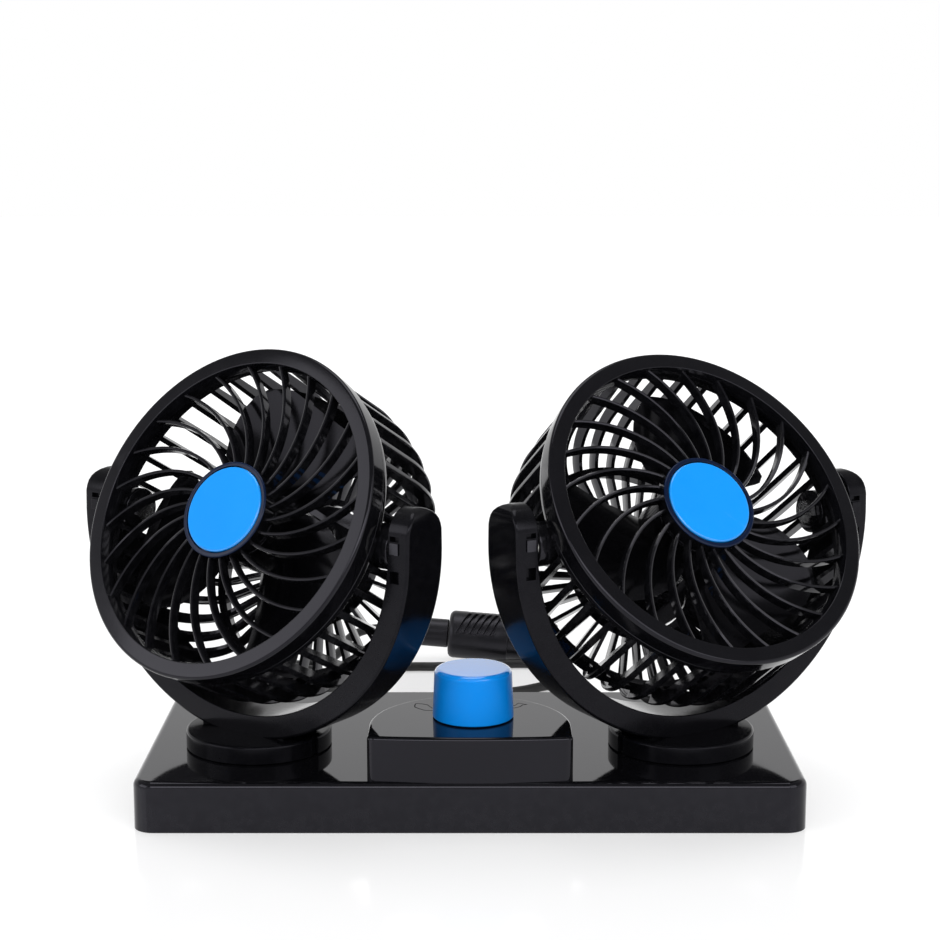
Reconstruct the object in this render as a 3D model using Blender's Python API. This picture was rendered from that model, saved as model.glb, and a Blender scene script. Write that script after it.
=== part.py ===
# Dual head car fan: a base with two swivelling, tilting fan heads, a speed knob, and a cord with
# a 12 V plug. Units are metres, +Z is up, and the front of the object faces -Y.
# The origin is the middle of the underside.
import math

import bmesh
import bpy
from mathutils import Matrix, Vector

# Shared clearances and cutting sizes
FIT_GAP = 0.0003
CUT_OVERRUN = 0.002
SINK = 0.0006
FILLET_STEPS = 2
CORNER_STEPS = 3

# Base
BASE_WIDTH = 0.208
BASE_DEPTH = 0.1008
BASE_TOP = 0.016
BASE_RIM_LOW = 0.0006
BASE_CORNER = 0.004
BASE_EDGE_FILLET = 0.0015
COVER_WALL = 0.0022
PAD_THICKNESS = 0.001
PAD_WIDTH = 0.150
PAD_DEPTH = 0.066
PAD_CORNER = 0.004
PLATE_THICKNESS = 0.0024

# Dais under the knob
DAIS_WIDTH = 0.0634
DAIS_DEPTH = 0.0482
DAIS_HEIGHT = 0.014
DAIS_FRONT_BULGE = 0.0012
DAIS_EDGE_FILLET = 0.0012
DAIS_ARC_STEPS = 14

# Screws of the base plate, set in from its sides and from its front and rear edges
PLATE_SCREW_SIDE_INSET = 0.014
PLATE_SCREW_EDGE_INSET = 0.0124
PLATE_SCREW_X = BASE_WIDTH / 2 - PLATE_SCREW_SIDE_INSET
PLATE_SCREW_Y = BASE_DEPTH / 2 - PLATE_SCREW_EDGE_INSET
PLATE_SCREW_BOSS_RADIUS = 0.0036
PLATE_SCREW_HEAD_RADIUS = 0.0028
PLATE_SCREW_HEAD_HEIGHT = 0.0011
PLATE_SCREW_RADIUS = 0.0012
PLATE_SCREW_LENGTH = 0.0065

# Speed switch, its board and the knob
KNOB_X = 0.001
KNOB_SETBACK = 0.0239
KNOB_TOP_RADIUS = 0.0122
KNOB_FOOT_RADIUS = 0.0128
KNOB_HEIGHT = 0.0157
KNOB_EDGE_FILLET = 0.0016
KNOB_RECESS_RADIUS = 0.0072
KNOB_RECESS_DEPTH = 0.0034
KNOB_BORE_DEPTH = 0.0115
SWITCH_RADIUS = 0.0085
SWITCH_HEIGHT = 0.0066
SWITCH_BUSH_RADIUS = 0.0036
SWITCH_BUSH_RISE = 0.0028
SWITCH_SHAFT_RADIUS = 0.0021
SWITCH_SHAFT_SINK = 0.004
NUT_RADIUS = 0.0058
NUT_HEIGHT = 0.002
NUT_SIDES = 6
BOARD_WIDTH = 0.040
BOARD_DEPTH = 0.022
BOARD_THICKNESS = 0.0016
BOARD_CORNER = 0.0016

# Swivel of each head on the base
SWIVEL_SETBACK = 0.040
DISC_RADIUS = 0.0235
DISC_HEIGHT = 0.0044
DISC_EDGE_FILLET = 0.0008
DISC_NOTCH_WIDTH = 0.003
DISC_NOTCH_DEPTH = 0.0012
SPIGOT_RADIUS = 0.008
SPIGOT_BORE = 0.0045
SPIGOT_LENGTH = 0.0072
WASHER_RADIUS = 0.013
WASHER_THICKNESS = 0.0012
CLIP_THICKNESS = 0.001
CLIP_RADIUS = 0.0115
CLIP_GROOVE_DEPTH = 0.0008
CLIP_OPENING = math.radians(40)

# Yoke hoop: its outside sets how far apart and how high the heads stand
YOKE_OUTER_RADIUS = 0.0675
YOKE_THICKNESS = 0.0077
YOKE_INNER_RADIUS = YOKE_OUTER_RADIUS - YOKE_THICKNESS
YOKE_SINK = 0.0002
YOKE_SIDE_GAP = 0.001
SWIVEL_X = YOKE_OUTER_RADIUS + YOKE_SIDE_GAP
PIVOT_HEIGHT = BASE_TOP + FIT_GAP + DISC_HEIGHT - YOKE_SINK + YOKE_OUTER_RADIUS
YOKE_HALF_WIDTH = 0.009
YOKE_EDGE = 0.0009
YOKE_ARM_RISE = 0.0134
YOKE_ARM_TOP = PIVOT_HEIGHT + YOKE_ARM_RISE
YOKE_TIP_ROUNDING = 0.0042
YOKE_ARC_STEPS = 22
YOKE_TIP_STEPS = 3
YOKE_FOOT_HALF_LENGTH = 0.017
YOKE_FOOT_HALF_WIDTH = 0.0082
YOKE_FOOT_RISE = 0.0032
ARM_SLOT_DROP = 0.0195
ARM_SLOT_SIZE = 0.0036
ARM_SLOT_DEPTH = 0.0022

# Photographed pose of each head, measured from straight ahead and level
SWIVEL_ANGLES = {"left": math.radians(-35.1), "right": math.radians(29.2)}
TILT_ANGLES = {"left": math.radians(28.6), "right": math.radians(37.7)}
SPIN_ANGLES = {"left": math.radians(88), "right": math.radians(72)}

# Head: distances behind the front plane of the ring, and radii about the fan axis
PIVOT_BACK = 0.0163
RING_YOKE_SPACE = 0.0048
RING_TAPER = 0.0004
RING_FACE_WIDTH = 0.0058
RING_OUTER_RADIUS = YOKE_INNER_RADIUS - RING_YOKE_SPACE
RING_REAR_RADIUS = RING_OUTER_RADIUS - RING_TAPER
RING_INNER_RADIUS = RING_OUTER_RADIUS - RING_FACE_WIDTH
RING_DEPTH = 0.0068
RING_WALL = 0.0019
RING_CHAMFER = 0.0008
FRONT_RIBS = 24
FRONT_RIB_WIDTH = 0.0012
FRONT_RIB_FRONT = 0.0012
FRONT_RIB_REAR = 0.0047
FRONT_RIB_SWEEP = math.radians(31)
FRONT_RIB_STEPS = 4
FRONT_RIB_PHASE = {"left": math.radians(11.2), "right": math.radians(1.2)}
HUB_RADIUS = 0.0159
HUB_PROUD = 0.0005
HUB_FLOOR = 0.0008
HUB_WALL = 0.0015
HUB_CAP_PROUD = 0.0003
HUB_CAP_EDGE = 0.0004

# Rear cage
CAGE_RIM_RADIUS = RING_REAR_RADIUS - FIT_GAP
CAGE_RIM_LEDGE = 0.0005
CAGE_RADIUS = CAGE_RIM_RADIUS - CAGE_RIM_LEDGE
CAGE_RIM_DEPTH = 0.0029
CAGE_RIM_WALL = 0.0026
CAGE_LIP_DEPTH = 0.0014
CAGE_LIP_WALL = 0.001
CAGE_RIBS = 40
CAGE_RIB_WIDTH = 0.0022
CAGE_RIB_END_WIDTH = 0.0015
CAGE_RIB_DEPTH = 0.004
CAGE_SHOULDER_START = 0.028
CAGE_BACK = 0.056
CAGE_SHOULDER_WIDTH = 0.018
CAGE_FLAT_RADIUS = CAGE_RADIUS - CAGE_SHOULDER_WIDTH
CAGE_SHOULDER_ANGLES = (0, 38, 68, 80)
CAGE_RING_SECTION = 4
CAGE_CENTRE_RADIUS = 0.022
CAGE_CENTRE_WALL = 0.0022

# Tilt pivots
PIVOT_BOSS_RADIUS = 0.007
PIVOT_BOSS_YOKE_SPACE = 0.0019
PIVOT_BOSS_ROOT = 0.0036
PIVOT_BOSS_END = YOKE_INNER_RADIUS - PIVOT_BOSS_YOKE_SPACE
PIVOT_BOSS_START = CAGE_RADIUS - PIVOT_BOSS_ROOT
PIVOT_PIN_RADIUS = 0.0022
PIVOT_PIN_HEAD_RADIUS = 0.004
PIVOT_PIN_HEAD_HEIGHT = 0.0018
PIVOT_PIN_REACH = 0.0042
PIVOT_PIN_END = YOKE_INNER_RADIUS + PIVOT_PIN_REACH
PIVOT_WASHER_RADIUS = 0.0065
PIVOT_WASHER_THICKNESS = 0.0008

# Motor, mount and rotor
MOTOR_RADIUS = 0.0122
MOTOR_FRONT = 0.026
MOTOR_NOSE_RADIUS = 0.004
MOTOR_NOSE_LENGTH = 0.0015
MOTOR_BORE_DEPTH = 0.005
MOUNT_FRONT = 0.040
MOUNT_WALL = 0.002
MOUNT_FLANGE_DEPTH = 0.004
MOUNT_FLANGE_EDGE = 0.0006
SHAFT_RADIUS = 0.0012
ROTOR_FRONT = 0.0076
ROTOR_REAR = 0.0238
ROTOR_HUB_RADIUS = 0.013
ROTOR_HUB_CHAMFER = 0.003
ROTOR_HUB_WALL = 0.0017
ROTOR_BOSS_RADIUS = 0.0036
ROTOR_TIP_SPACE = 0.0032
ROTOR_TIP_RADIUS = RING_INNER_RADIUS - ROTOR_TIP_SPACE
ROTOR_BLADES = 3
ROTOR_SEGMENTS = 15
BLADE_THICKNESS = 0.0012
BLADE_ROOT_DEPTH = 0.0008
BLADE_FRONT = 0.0105
BLADE_REAR = 0.0236
BLADE_ROOT_SPAN = math.radians(102)
BLADE_TIP_SPAN = math.radians(70)
BLADE_LEAN = math.radians(-18)
BLADE_CHORD_STEPS = 6
BLADE_RADIAL_STEPS = 3
BLADE_TIP_RELIEF = 0.0010

# Cord, its bush in the rear wall, and the coil
CORD_RADIUS = 0.0018
CORD_STRAIGHT = 0.0045
CORD_POINT_SPACING = 0.0095
BUSH_HEIGHT = 0.0078
BUSH_FLANGE_RADIUS = 0.0038
BUSH_NECK_RADIUS = 0.0028
BUSH_FLANGE_THICKNESS = 0.0014
BUSH_TAIL_LENGTH = 0.013
BUSH_TAIL_RADIUS = 0.0024
COIL_CENTRE = (-0.075, 0.0925)
COIL_OUTER_RADIUS = 0.027
COIL_PITCH = 0.00415
COIL_LAYER_STEP = 0.0042
COIL_TURNS_IN = 2.5
COIL_TURNS_OUT = 2.75
COIL_CLIMB_TURNS = 0.5
COIL_POINTS_PER_TURN = 24
FLOOR_CLEARANCE = 0.0001

# Plug: distances from the neck's end along its axis
PLUG_SHOULDER = (-0.0085, 0.1485)
PLUG_YAW = math.radians(3)
PLUG_PITCH = math.radians(4)
NECK_LENGTH = 0.022
NECK_RADIUS = 0.0057
NECK_END_RADIUS = 0.0034
GRIP_RADIUS = 0.0095
GRIP_LENGTH = 0.024
GRIP_EDGE = 0.0016
BARREL_RADIUS = 0.0086
BARREL_LENGTH = 0.014
PLUG_BORE_RADIUS = 0.004
PLUG_BORE_START = 0.032
NOSE_LENGTH = 0.0055
NOSE_RADIUS = 0.0078
NOSE_BORE = 0.0035
NOSE_EDGE = 0.001
PIN_RADIUS = 0.0031
PIN_FLANGE_RADIUS = 0.0037
PIN_FLANGE_THICKNESS = 0.0014
PIN_PROUD = 0.0038
PIN_TIP_FILLET = 0.0014
FUSE_RADIUS = 0.0031
FUSE_LENGTH = 0.018
FUSE_CAP_LENGTH = 0.0035
FUSE_CAP_STEP = 0.0003
SPRING_RADIUS = 0.0032
SPRING_BORE = 0.0022
CONTACT_LENGTH = 0.009
CONTACT_WIDTH = 0.0028
CONTACT_BACKSET = 0.0135
CONTACT_PROUD = 0.001
CONTACT_HEIGHT = 0.0032
CONTACT_TRAVEL = 0.0008
CONTACT_CROWN = 0.0009

BASE_FRONT = -BASE_DEPTH / 2
BASE_REAR = BASE_DEPTH / 2
DAIS_TOP = BASE_TOP + DAIS_HEIGHT
PLATE_LOW = PAD_THICKNESS + FIT_GAP
PLATE_HIGH = PLATE_LOW + PLATE_THICKNESS
COVER_CEILING = BASE_TOP - COVER_WALL
DAIS_CEILING = DAIS_TOP - COVER_WALL
KNOB_CENTRE = (KNOB_X, BASE_FRONT + KNOB_SETBACK)
SWITCH_LOW = DAIS_CEILING - FIT_GAP - SWITCH_HEIGHT
BOARD_HIGH = SWITCH_LOW - FIT_GAP
PLATE_SCREW_HEAD_LOW = PLATE_LOW + FIT_GAP
SWIVEL_Y = BASE_FRONT + SWIVEL_SETBACK
SIDES = {"left": -1, "right": 1}


# Geometry helpers

def about_z(axial, radius, angle):
    return Vector((radius * math.cos(angle), radius * math.sin(angle), axial))


def about_y(axial, radius, angle):
    return Vector((radius * math.cos(angle), axial, radius * math.sin(angle)))


def about_x(axial, radius, angle):
    return Vector((axial, radius * math.cos(angle), radius * math.sin(angle)))


def about_nut(axial, radius, angle):
    """Like about_z, with the middles of the nut's flats drawn in to make its outside a hexagon."""
    half_side = math.pi / NUT_SIDES
    at_flat = round(angle / half_side) % 2 == 1
    drawn_in = math.cos(half_side) if at_flat and radius == NUT_RADIUS else 1
    return about_z(axial, radius * drawn_in, angle)


def on_head(back, radius, angle):
    return about_y(back - PIVOT_BACK, radius, angle)


def even_angles(count):
    return [2 * math.pi * k / count for k in range(count)]


def make_material(name, colour, roughness, metallic=0.0):
    material = bpy.data.materials.new(name)
    material.use_nodes = True
    shader = material.node_tree.nodes["Principled BSDF"]
    shader.inputs["Base Color"].default_value = (*colour, 1.0)
    shader.inputs["Roughness"].default_value = roughness
    shader.inputs["Metallic"].default_value = metallic
    return material


def add_object(name, data, material, parent=None, location=(0, 0, 0)):
    item = bpy.data.objects.new(name, data)
    bpy.context.collection.objects.link(item)
    item.location = location
    item.parent = parent
    if material:
        data.materials.append(material)
    return item


def finish_mesh(bm, name, material, parent=None, location=(0, 0, 0)):
    bmesh.ops.recalc_face_normals(bm, faces=bm.faces)
    mesh = bpy.data.meshes.new(name)
    bm.to_mesh(mesh)
    bm.free()
    mesh.shade_smooth()
    mesh.set_sharp_from_angle(angle=math.radians(32))
    return add_object(name, mesh, material, parent, location)


def add_empty(name, parent=None, location=(0, 0, 0), rotation=(0, 0, 0)):
    empty = bpy.data.objects.new(name, None)
    bpy.context.collection.objects.link(empty)
    empty.location = location
    empty.rotation_euler = rotation
    empty.parent = parent
    return empty


def add_grid(bm, profile, angles, place, skip=None, closed=True):
    """Turn a profile of (axial, radius) points through the angles; skip(i, j) leaves a face out."""
    columns = []
    for angle in angles:
        columns.append([bm.verts.new(place(axial, radius, angle)) for axial, radius in profile])
    count = len(angles)
    spans = len(profile) if closed else len(profile) - 1
    for j in range(count):
        here, following = columns[j], columns[(j + 1) % count]
        for i in range(spans):
            if skip and skip(i, j):
                continue
            k = (i + 1) % len(profile)
            bm.faces.new((here[i], following[i], following[k], here[k]))
    return columns


def add_pole(bm, columns, row, point):
    pole = bm.verts.new(point)
    for j, column in enumerate(columns):
        bm.faces.new((column[row], columns[(j + 1) % len(columns)][row], pole))


def turned(bm, profile, angles, place):
    """A turned solid: a closed ring profile, or one that starts or ends on the axis."""
    start_pole = profile[0][1] == 0
    end_pole = profile[-1][1] == 0
    inner = profile[1 if start_pole else 0:len(profile) - (1 if end_pole else 0)]
    columns = add_grid(bm, inner, angles, place, closed=not (start_pole or end_pole))
    if start_pole:
        add_pole(bm, columns, 0, place(profile[0][0], 0, 0))
    if end_pole:
        add_pole(bm, columns, len(inner) - 1, place(profile[-1][0], 0, 0))


def turned_part(name, profile, sides, place, material, parent=None, location=(0, 0, 0)):
    bm = bmesh.new()
    turned(bm, profile, even_angles(sides), place)
    return finish_mesh(bm, name, material, parent, location)


def loft(bm, rings):
    """Join rings of equal point counts into one closed solid with flat ends."""
    rows = [[bm.verts.new(point) for point in ring] for ring in rings]
    count = len(rings[0])
    for low, high in zip(rows, rows[1:]):
        for i in range(count):
            k = (i + 1) % count
            bm.faces.new((low[i], low[k], high[k], high[i]))
    bm.faces.new(rows[0])
    bm.faces.new(rows[-1])


def filleted(corners, fillets):
    """Corner points with each listed corner rounded: fillets maps a corner's index to a radius."""
    points = []
    last = len(corners) - 1
    for index, corner in enumerate(corners):
        radius = fillets.get(index, 0)
        if not radius or index in (0, last):
            points.append(corner)
            continue
        here = Vector(corner)
        before = (Vector(corners[index - 1]) - here).normalized()
        after = (Vector(corners[index + 1]) - here).normalized()
        half = before.angle(after) / 2
        reach = radius / math.tan(half)
        centre = here + (before + after).normalized() * radius / math.sin(half)
        start = here + before * reach - centre
        end = here + after * reach - centre
        for step in range(FILLET_STEPS + 1):
            spoke = start.slerp(end, step / FILLET_STEPS) * radius
            points.append(tuple(centre + spoke))
    return points


def rounded_rectangle(width, depth, corner, centre_y=0.0):
    points = []
    for quarter in range(4):
        middle = math.radians(90 * quarter)
        sign_x = 1 if quarter in (0, 3) else -1
        sign_y = 1 if quarter in (0, 1) else -1
        centre = Vector((sign_x * (width / 2 - corner), centre_y + sign_y * (depth / 2 - corner)))
        for step in range(CORNER_STEPS + 1):
            angle = middle + math.radians(90) * step / CORNER_STEPS
            points.append(centre + corner * Vector((math.cos(angle), math.sin(angle))))
    return points


def dais_outline(inset):
    """Bulged front, short straight sides and a round back, drawn in from its edge by inset."""
    half = DAIS_WIDTH / 2 - inset
    arc_y = BASE_FRONT + DAIS_DEPTH - DAIS_WIDTH / 2
    points = []
    for step in range(DAIS_ARC_STEPS + 1):
        angle = math.pi * step / DAIS_ARC_STEPS
        points.append(Vector((half * math.cos(angle), arc_y + half * math.sin(angle))))
    front_steps = DAIS_ARC_STEPS // 2
    for step in range(front_steps + 1):
        share = 2 * step / front_steps - 1
        bulge = DAIS_FRONT_BULGE * (1 - share * share)
        points.append(Vector((share * half, BASE_FRONT + DAIS_FRONT_BULGE + inset - bulge)))
    return points


def slab_rings(outline, low, high, fillet):
    """Rings of a slab whose top edge is rounded; outline(inset) gives its plan."""
    rings = [[Vector((p.x, p.y, low)) for p in outline(0)]]
    for step in range(FILLET_STEPS + 1 if fillet else 1):
        angle = math.radians(90) * step / FILLET_STEPS
        inset = fillet * (1 - math.cos(angle))
        height = high - fillet * (1 - math.sin(angle))
        rings.append([Vector((p.x, p.y, height)) for p in outline(inset)])
    return rings


def slab_part(name, outline, low, high, fillet, material):
    bm = bmesh.new()
    loft(bm, slab_rings(outline, low, high, fillet))
    return finish_mesh(bm, name, material)


def add_cylinder(bm, centre, radius, low, high, sides, place):
    profile = [(low, 0), (low, radius), (high, radius), (high, 0)]
    shift = Vector(centre)
    turned(bm, profile, even_angles(sides), lambda a, r, t: place(a, r, t) + shift)


def box_rings(low, high):
    corners = ((low[0], low[1]), (high[0], low[1]), (high[0], high[1]), (low[0], high[1]))
    return [[Vector((x, y, z)) for x, y in corners] for z in (low[2], high[2])]


def cutter(bm, name, parent=None):
    guide = finish_mesh(bm, name, None, parent)
    guide.hide_render = True
    guide.display_type = "WIRE"
    return guide


def apply_boolean(item, other, operation):
    modifier = item.modifiers.new(other.name, "BOOLEAN")
    modifier.operation = operation
    modifier.object = other
    modifier.solver = "EXACT"


# Base pieces

def base_outline(inset):
    return rounded_rectangle(BASE_WIDTH - 2 * inset, BASE_DEPTH - 2 * inset, BASE_CORNER - inset)


def screw_spots():
    return [(x, y) for x in (-PLATE_SCREW_X, PLATE_SCREW_X) for y in (-PLATE_SCREW_Y, PLATE_SCREW_Y)]


def build_base_cover(material):
    cover = slab_part("base_cover", base_outline, BASE_RIM_LOW, BASE_TOP, BASE_EDGE_FILLET, material)
    bm = bmesh.new()
    loft(bm, slab_rings(dais_outline, COVER_CEILING, DAIS_TOP, DAIS_EDGE_FILLET))
    apply_boolean(cover, cutter(bm, "dais_form"), "UNION")

    bm = bmesh.new()
    inner = [[Vector((p.x, p.y, z)) for p in base_outline(COVER_WALL)]
             for z in (BASE_RIM_LOW - CUT_OVERRUN, COVER_CEILING)]
    loft(bm, inner)
    apply_boolean(cover, cutter(bm, "base_cavity"), "DIFFERENCE")

    bm = bmesh.new()
    inner = [[Vector((p.x, p.y, z)) for p in dais_outline(COVER_WALL)]
             for z in (COVER_CEILING - CUT_OVERRUN, DAIS_CEILING)]
    loft(bm, inner)
    apply_boolean(cover, cutter(bm, "dais_cavity"), "DIFFERENCE")

    bm = bmesh.new()
    for x, y in screw_spots():
        add_cylinder(bm, (x, y, 0), PLATE_SCREW_BOSS_RADIUS, PLATE_HIGH + FIT_GAP,
                     COVER_CEILING + SINK, 10, about_z)
    apply_boolean(cover, cutter(bm, "cover_bosses"), "UNION")

    bm = bmesh.new()
    for x, y in screw_spots():
        add_cylinder(bm, (x, y, 0), PLATE_SCREW_RADIUS + FIT_GAP, PLATE_HIGH - CUT_OVERRUN,
                     PLATE_SCREW_HEAD_LOW + PLATE_SCREW_HEAD_HEIGHT + PLATE_SCREW_LENGTH + FIT_GAP,
                     8, about_z)
    for sign in SIDES.values():
        add_cylinder(bm, (sign * SWIVEL_X, SWIVEL_Y, 0), SPIGOT_RADIUS + FIT_GAP,
                     COVER_CEILING - CUT_OVERRUN, BASE_TOP + CUT_OVERRUN, 20, about_z)
    add_cylinder(bm, (*KNOB_CENTRE, 0), SWITCH_BUSH_RADIUS + FIT_GAP,
                 DAIS_CEILING - CUT_OVERRUN, DAIS_TOP + CUT_OVERRUN, 12, about_z)
    add_cylinder(bm, (0, 0, BUSH_HEIGHT), BUSH_NECK_RADIUS + FIT_GAP,
                 BASE_REAR - COVER_WALL - CUT_OVERRUN, BASE_REAR + CUT_OVERRUN, 14, about_y)
    apply_boolean(cover, cutter(bm, "cover_holes"), "DIFFERENCE")
    return cover


def build_base_plate(material):
    def outline(inset):
        return base_outline(COVER_WALL + FIT_GAP + inset)
    plate = slab_part("base_plate", outline, PLATE_LOW, PLATE_HIGH, 0, material)
    bm = bmesh.new()
    recess_top = PLATE_SCREW_HEAD_LOW + PLATE_SCREW_HEAD_HEIGHT + FIT_GAP
    recess = PLATE_SCREW_HEAD_RADIUS + FIT_GAP
    hole = PLATE_SCREW_RADIUS + FIT_GAP
    for x, y in screw_spots():
        profile = [(PLATE_LOW - CUT_OVERRUN, 0), (PLATE_LOW - CUT_OVERRUN, recess),
                   (recess_top, recess), (recess_top, hole),
                   (PLATE_HIGH + CUT_OVERRUN, hole), (PLATE_HIGH + CUT_OVERRUN, 0)]
        spot = Vector((x, y, 0))
        turned(bm, profile, even_angles(8), lambda a, r, t, spot=spot: about_z(a, r, t) + spot)
    apply_boolean(plate, cutter(bm, "plate_holes"), "DIFFERENCE")


def build_pad(material):
    def outline(inset):
        return rounded_rectangle(PAD_WIDTH - 2 * inset, PAD_DEPTH - 2 * inset, PAD_CORNER - inset)
    slab_part("adhesive_pad", outline, 0, PAD_THICKNESS, 0, material)


def screw_profile(head_low, head_height, head_radius, radius, length):
    head_high = head_low + head_height
    return [(head_low, 0), (head_low, head_radius), (head_high, head_radius), (head_high, radius),
            (head_high + length, radius), (head_high + length, 0)]


def build_plate_screws(material):
    profile = screw_profile(PLATE_SCREW_HEAD_LOW, PLATE_SCREW_HEAD_HEIGHT, PLATE_SCREW_HEAD_RADIUS,
                            PLATE_SCREW_RADIUS, PLATE_SCREW_LENGTH)
    for number, (x, y) in enumerate(screw_spots(), start=1):
        turned_part(f"plate_screw_{number}", profile, 8, about_z, material, location=(x, y, 0))


def build_switch(body_material, board_material, metal):
    x, y = KNOB_CENTRE
    board_low = BOARD_HIGH - BOARD_THICKNESS

    def outline(inset):
        return rounded_rectangle(BOARD_WIDTH - 2 * inset, BOARD_DEPTH - 2 * inset,
                                 BOARD_CORNER - inset, y)
    slab_part("control_board", outline, board_low, BOARD_HIGH, 0, board_material)

    low = SWITCH_LOW
    high = low + SWITCH_HEIGHT
    bush_top = DAIS_TOP + SWITCH_BUSH_RISE
    bore = SWITCH_SHAFT_RADIUS + FIT_GAP
    bore_floor = high - SWITCH_SHAFT_SINK
    profile = [(low, 0), (low, SWITCH_RADIUS), (high, SWITCH_RADIUS), (high, SWITCH_BUSH_RADIUS),
               (bush_top, SWITCH_BUSH_RADIUS), (bush_top, bore), (bore_floor, bore),
               (bore_floor, 0)]
    turned_part("speed_switch", profile, 16, about_z, body_material, location=(x, y, 0))

    nut_low = DAIS_TOP + FIT_GAP
    nut_bore = SWITCH_BUSH_RADIUS + FIT_GAP
    profile = [(nut_low, NUT_RADIUS), (nut_low + NUT_HEIGHT, NUT_RADIUS),
               (nut_low + NUT_HEIGHT, nut_bore), (nut_low, nut_bore)]
    turned_part("switch_nut", profile, 2 * NUT_SIDES, about_nut, metal, location=(x, y, 0))

    axis = add_empty("knob_axis", location=(x, y, 0))
    shaft_low = bore_floor + FIT_GAP
    shaft_high = DAIS_TOP + FIT_GAP + KNOB_BORE_DEPTH - FIT_GAP
    profile = [(shaft_low, 0), (shaft_low, SWITCH_SHAFT_RADIUS),
               (shaft_high, SWITCH_SHAFT_RADIUS), (shaft_high, 0)]
    turned_part("switch_shaft", profile, 10, about_z, metal, axis)
    return axis


def build_knob(axis, material):
    low = DAIS_TOP + FIT_GAP
    high = low + KNOB_HEIGHT
    bore = SWITCH_SHAFT_RADIUS + FIT_GAP
    outer = filleted([(low, KNOB_FOOT_RADIUS), (high, KNOB_TOP_RADIUS), (high, 0)],
                     {1: KNOB_EDGE_FILLET})
    recess = [(low + KNOB_BORE_DEPTH, 0), (low + KNOB_BORE_DEPTH, bore),
              (low + KNOB_RECESS_DEPTH, bore), (low + KNOB_RECESS_DEPTH, KNOB_RECESS_RADIUS),
              (low, KNOB_RECESS_RADIUS)]
    turned_part("speed_knob", recess + outer, 28, about_z, material, axis)


# Yokes

def yoke_stations():
    """Points along the hoop: centre of the band, outward direction, half width and outer trim."""
    middle = (YOKE_OUTER_RADIUS + YOKE_INNER_RADIUS) / 2
    tip_start = YOKE_ARM_TOP - YOKE_HALF_WIDTH
    stations = []
    for step in range(YOKE_TIP_STEPS):
        angle = math.radians(90) * (YOKE_TIP_STEPS - step) / (YOKE_TIP_STEPS + 0.25)
        rise = YOKE_HALF_WIDTH * math.sin(angle)
        half = YOKE_HALF_WIDTH * math.cos(angle)
        over = max(0.0, tip_start + rise - YOKE_ARM_TOP + YOKE_TIP_ROUNDING)
        trim = YOKE_TIP_ROUNDING - math.sqrt(max(0.0, YOKE_TIP_ROUNDING ** 2 - over ** 2))
        stations.append((-middle, tip_start + rise, math.pi, half, trim))
    stations.append((-middle, tip_start, math.pi, YOKE_HALF_WIDTH, 0.0))
    for step in range(YOKE_ARC_STEPS + 1):
        angle = math.pi + math.pi * step / YOKE_ARC_STEPS
        stations.append((middle * math.cos(angle), PIVOT_HEIGHT + middle * math.sin(angle),
                         angle, YOKE_HALF_WIDTH, 0.0))
    mirrored = [(-x, z, 3 * math.pi - angle, half, trim)
                for x, z, angle, half, trim in reversed(stations[:YOKE_TIP_STEPS + 1])]
    return stations + mirrored


def yoke_section(x, z, angle, half, trim):
    """Chamfered band section at one station, in swivel coordinates above the base top."""
    reach = (YOKE_OUTER_RADIUS - YOKE_INNER_RADIUS) / 2
    outward = Vector((math.cos(angle), 0, math.sin(angle)))
    centre = Vector((x, 0, z - BASE_TOP))
    edge = min(YOKE_EDGE, half / 2)
    outer = reach - trim
    corners = [(outer, -half + edge), (outer, half - edge), (outer - edge, half),
               (-reach, half), (-reach, -half), (outer - edge, -half)]
    return [centre + outward * out + Vector((0, across, 0)) for out, across in corners]


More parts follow.
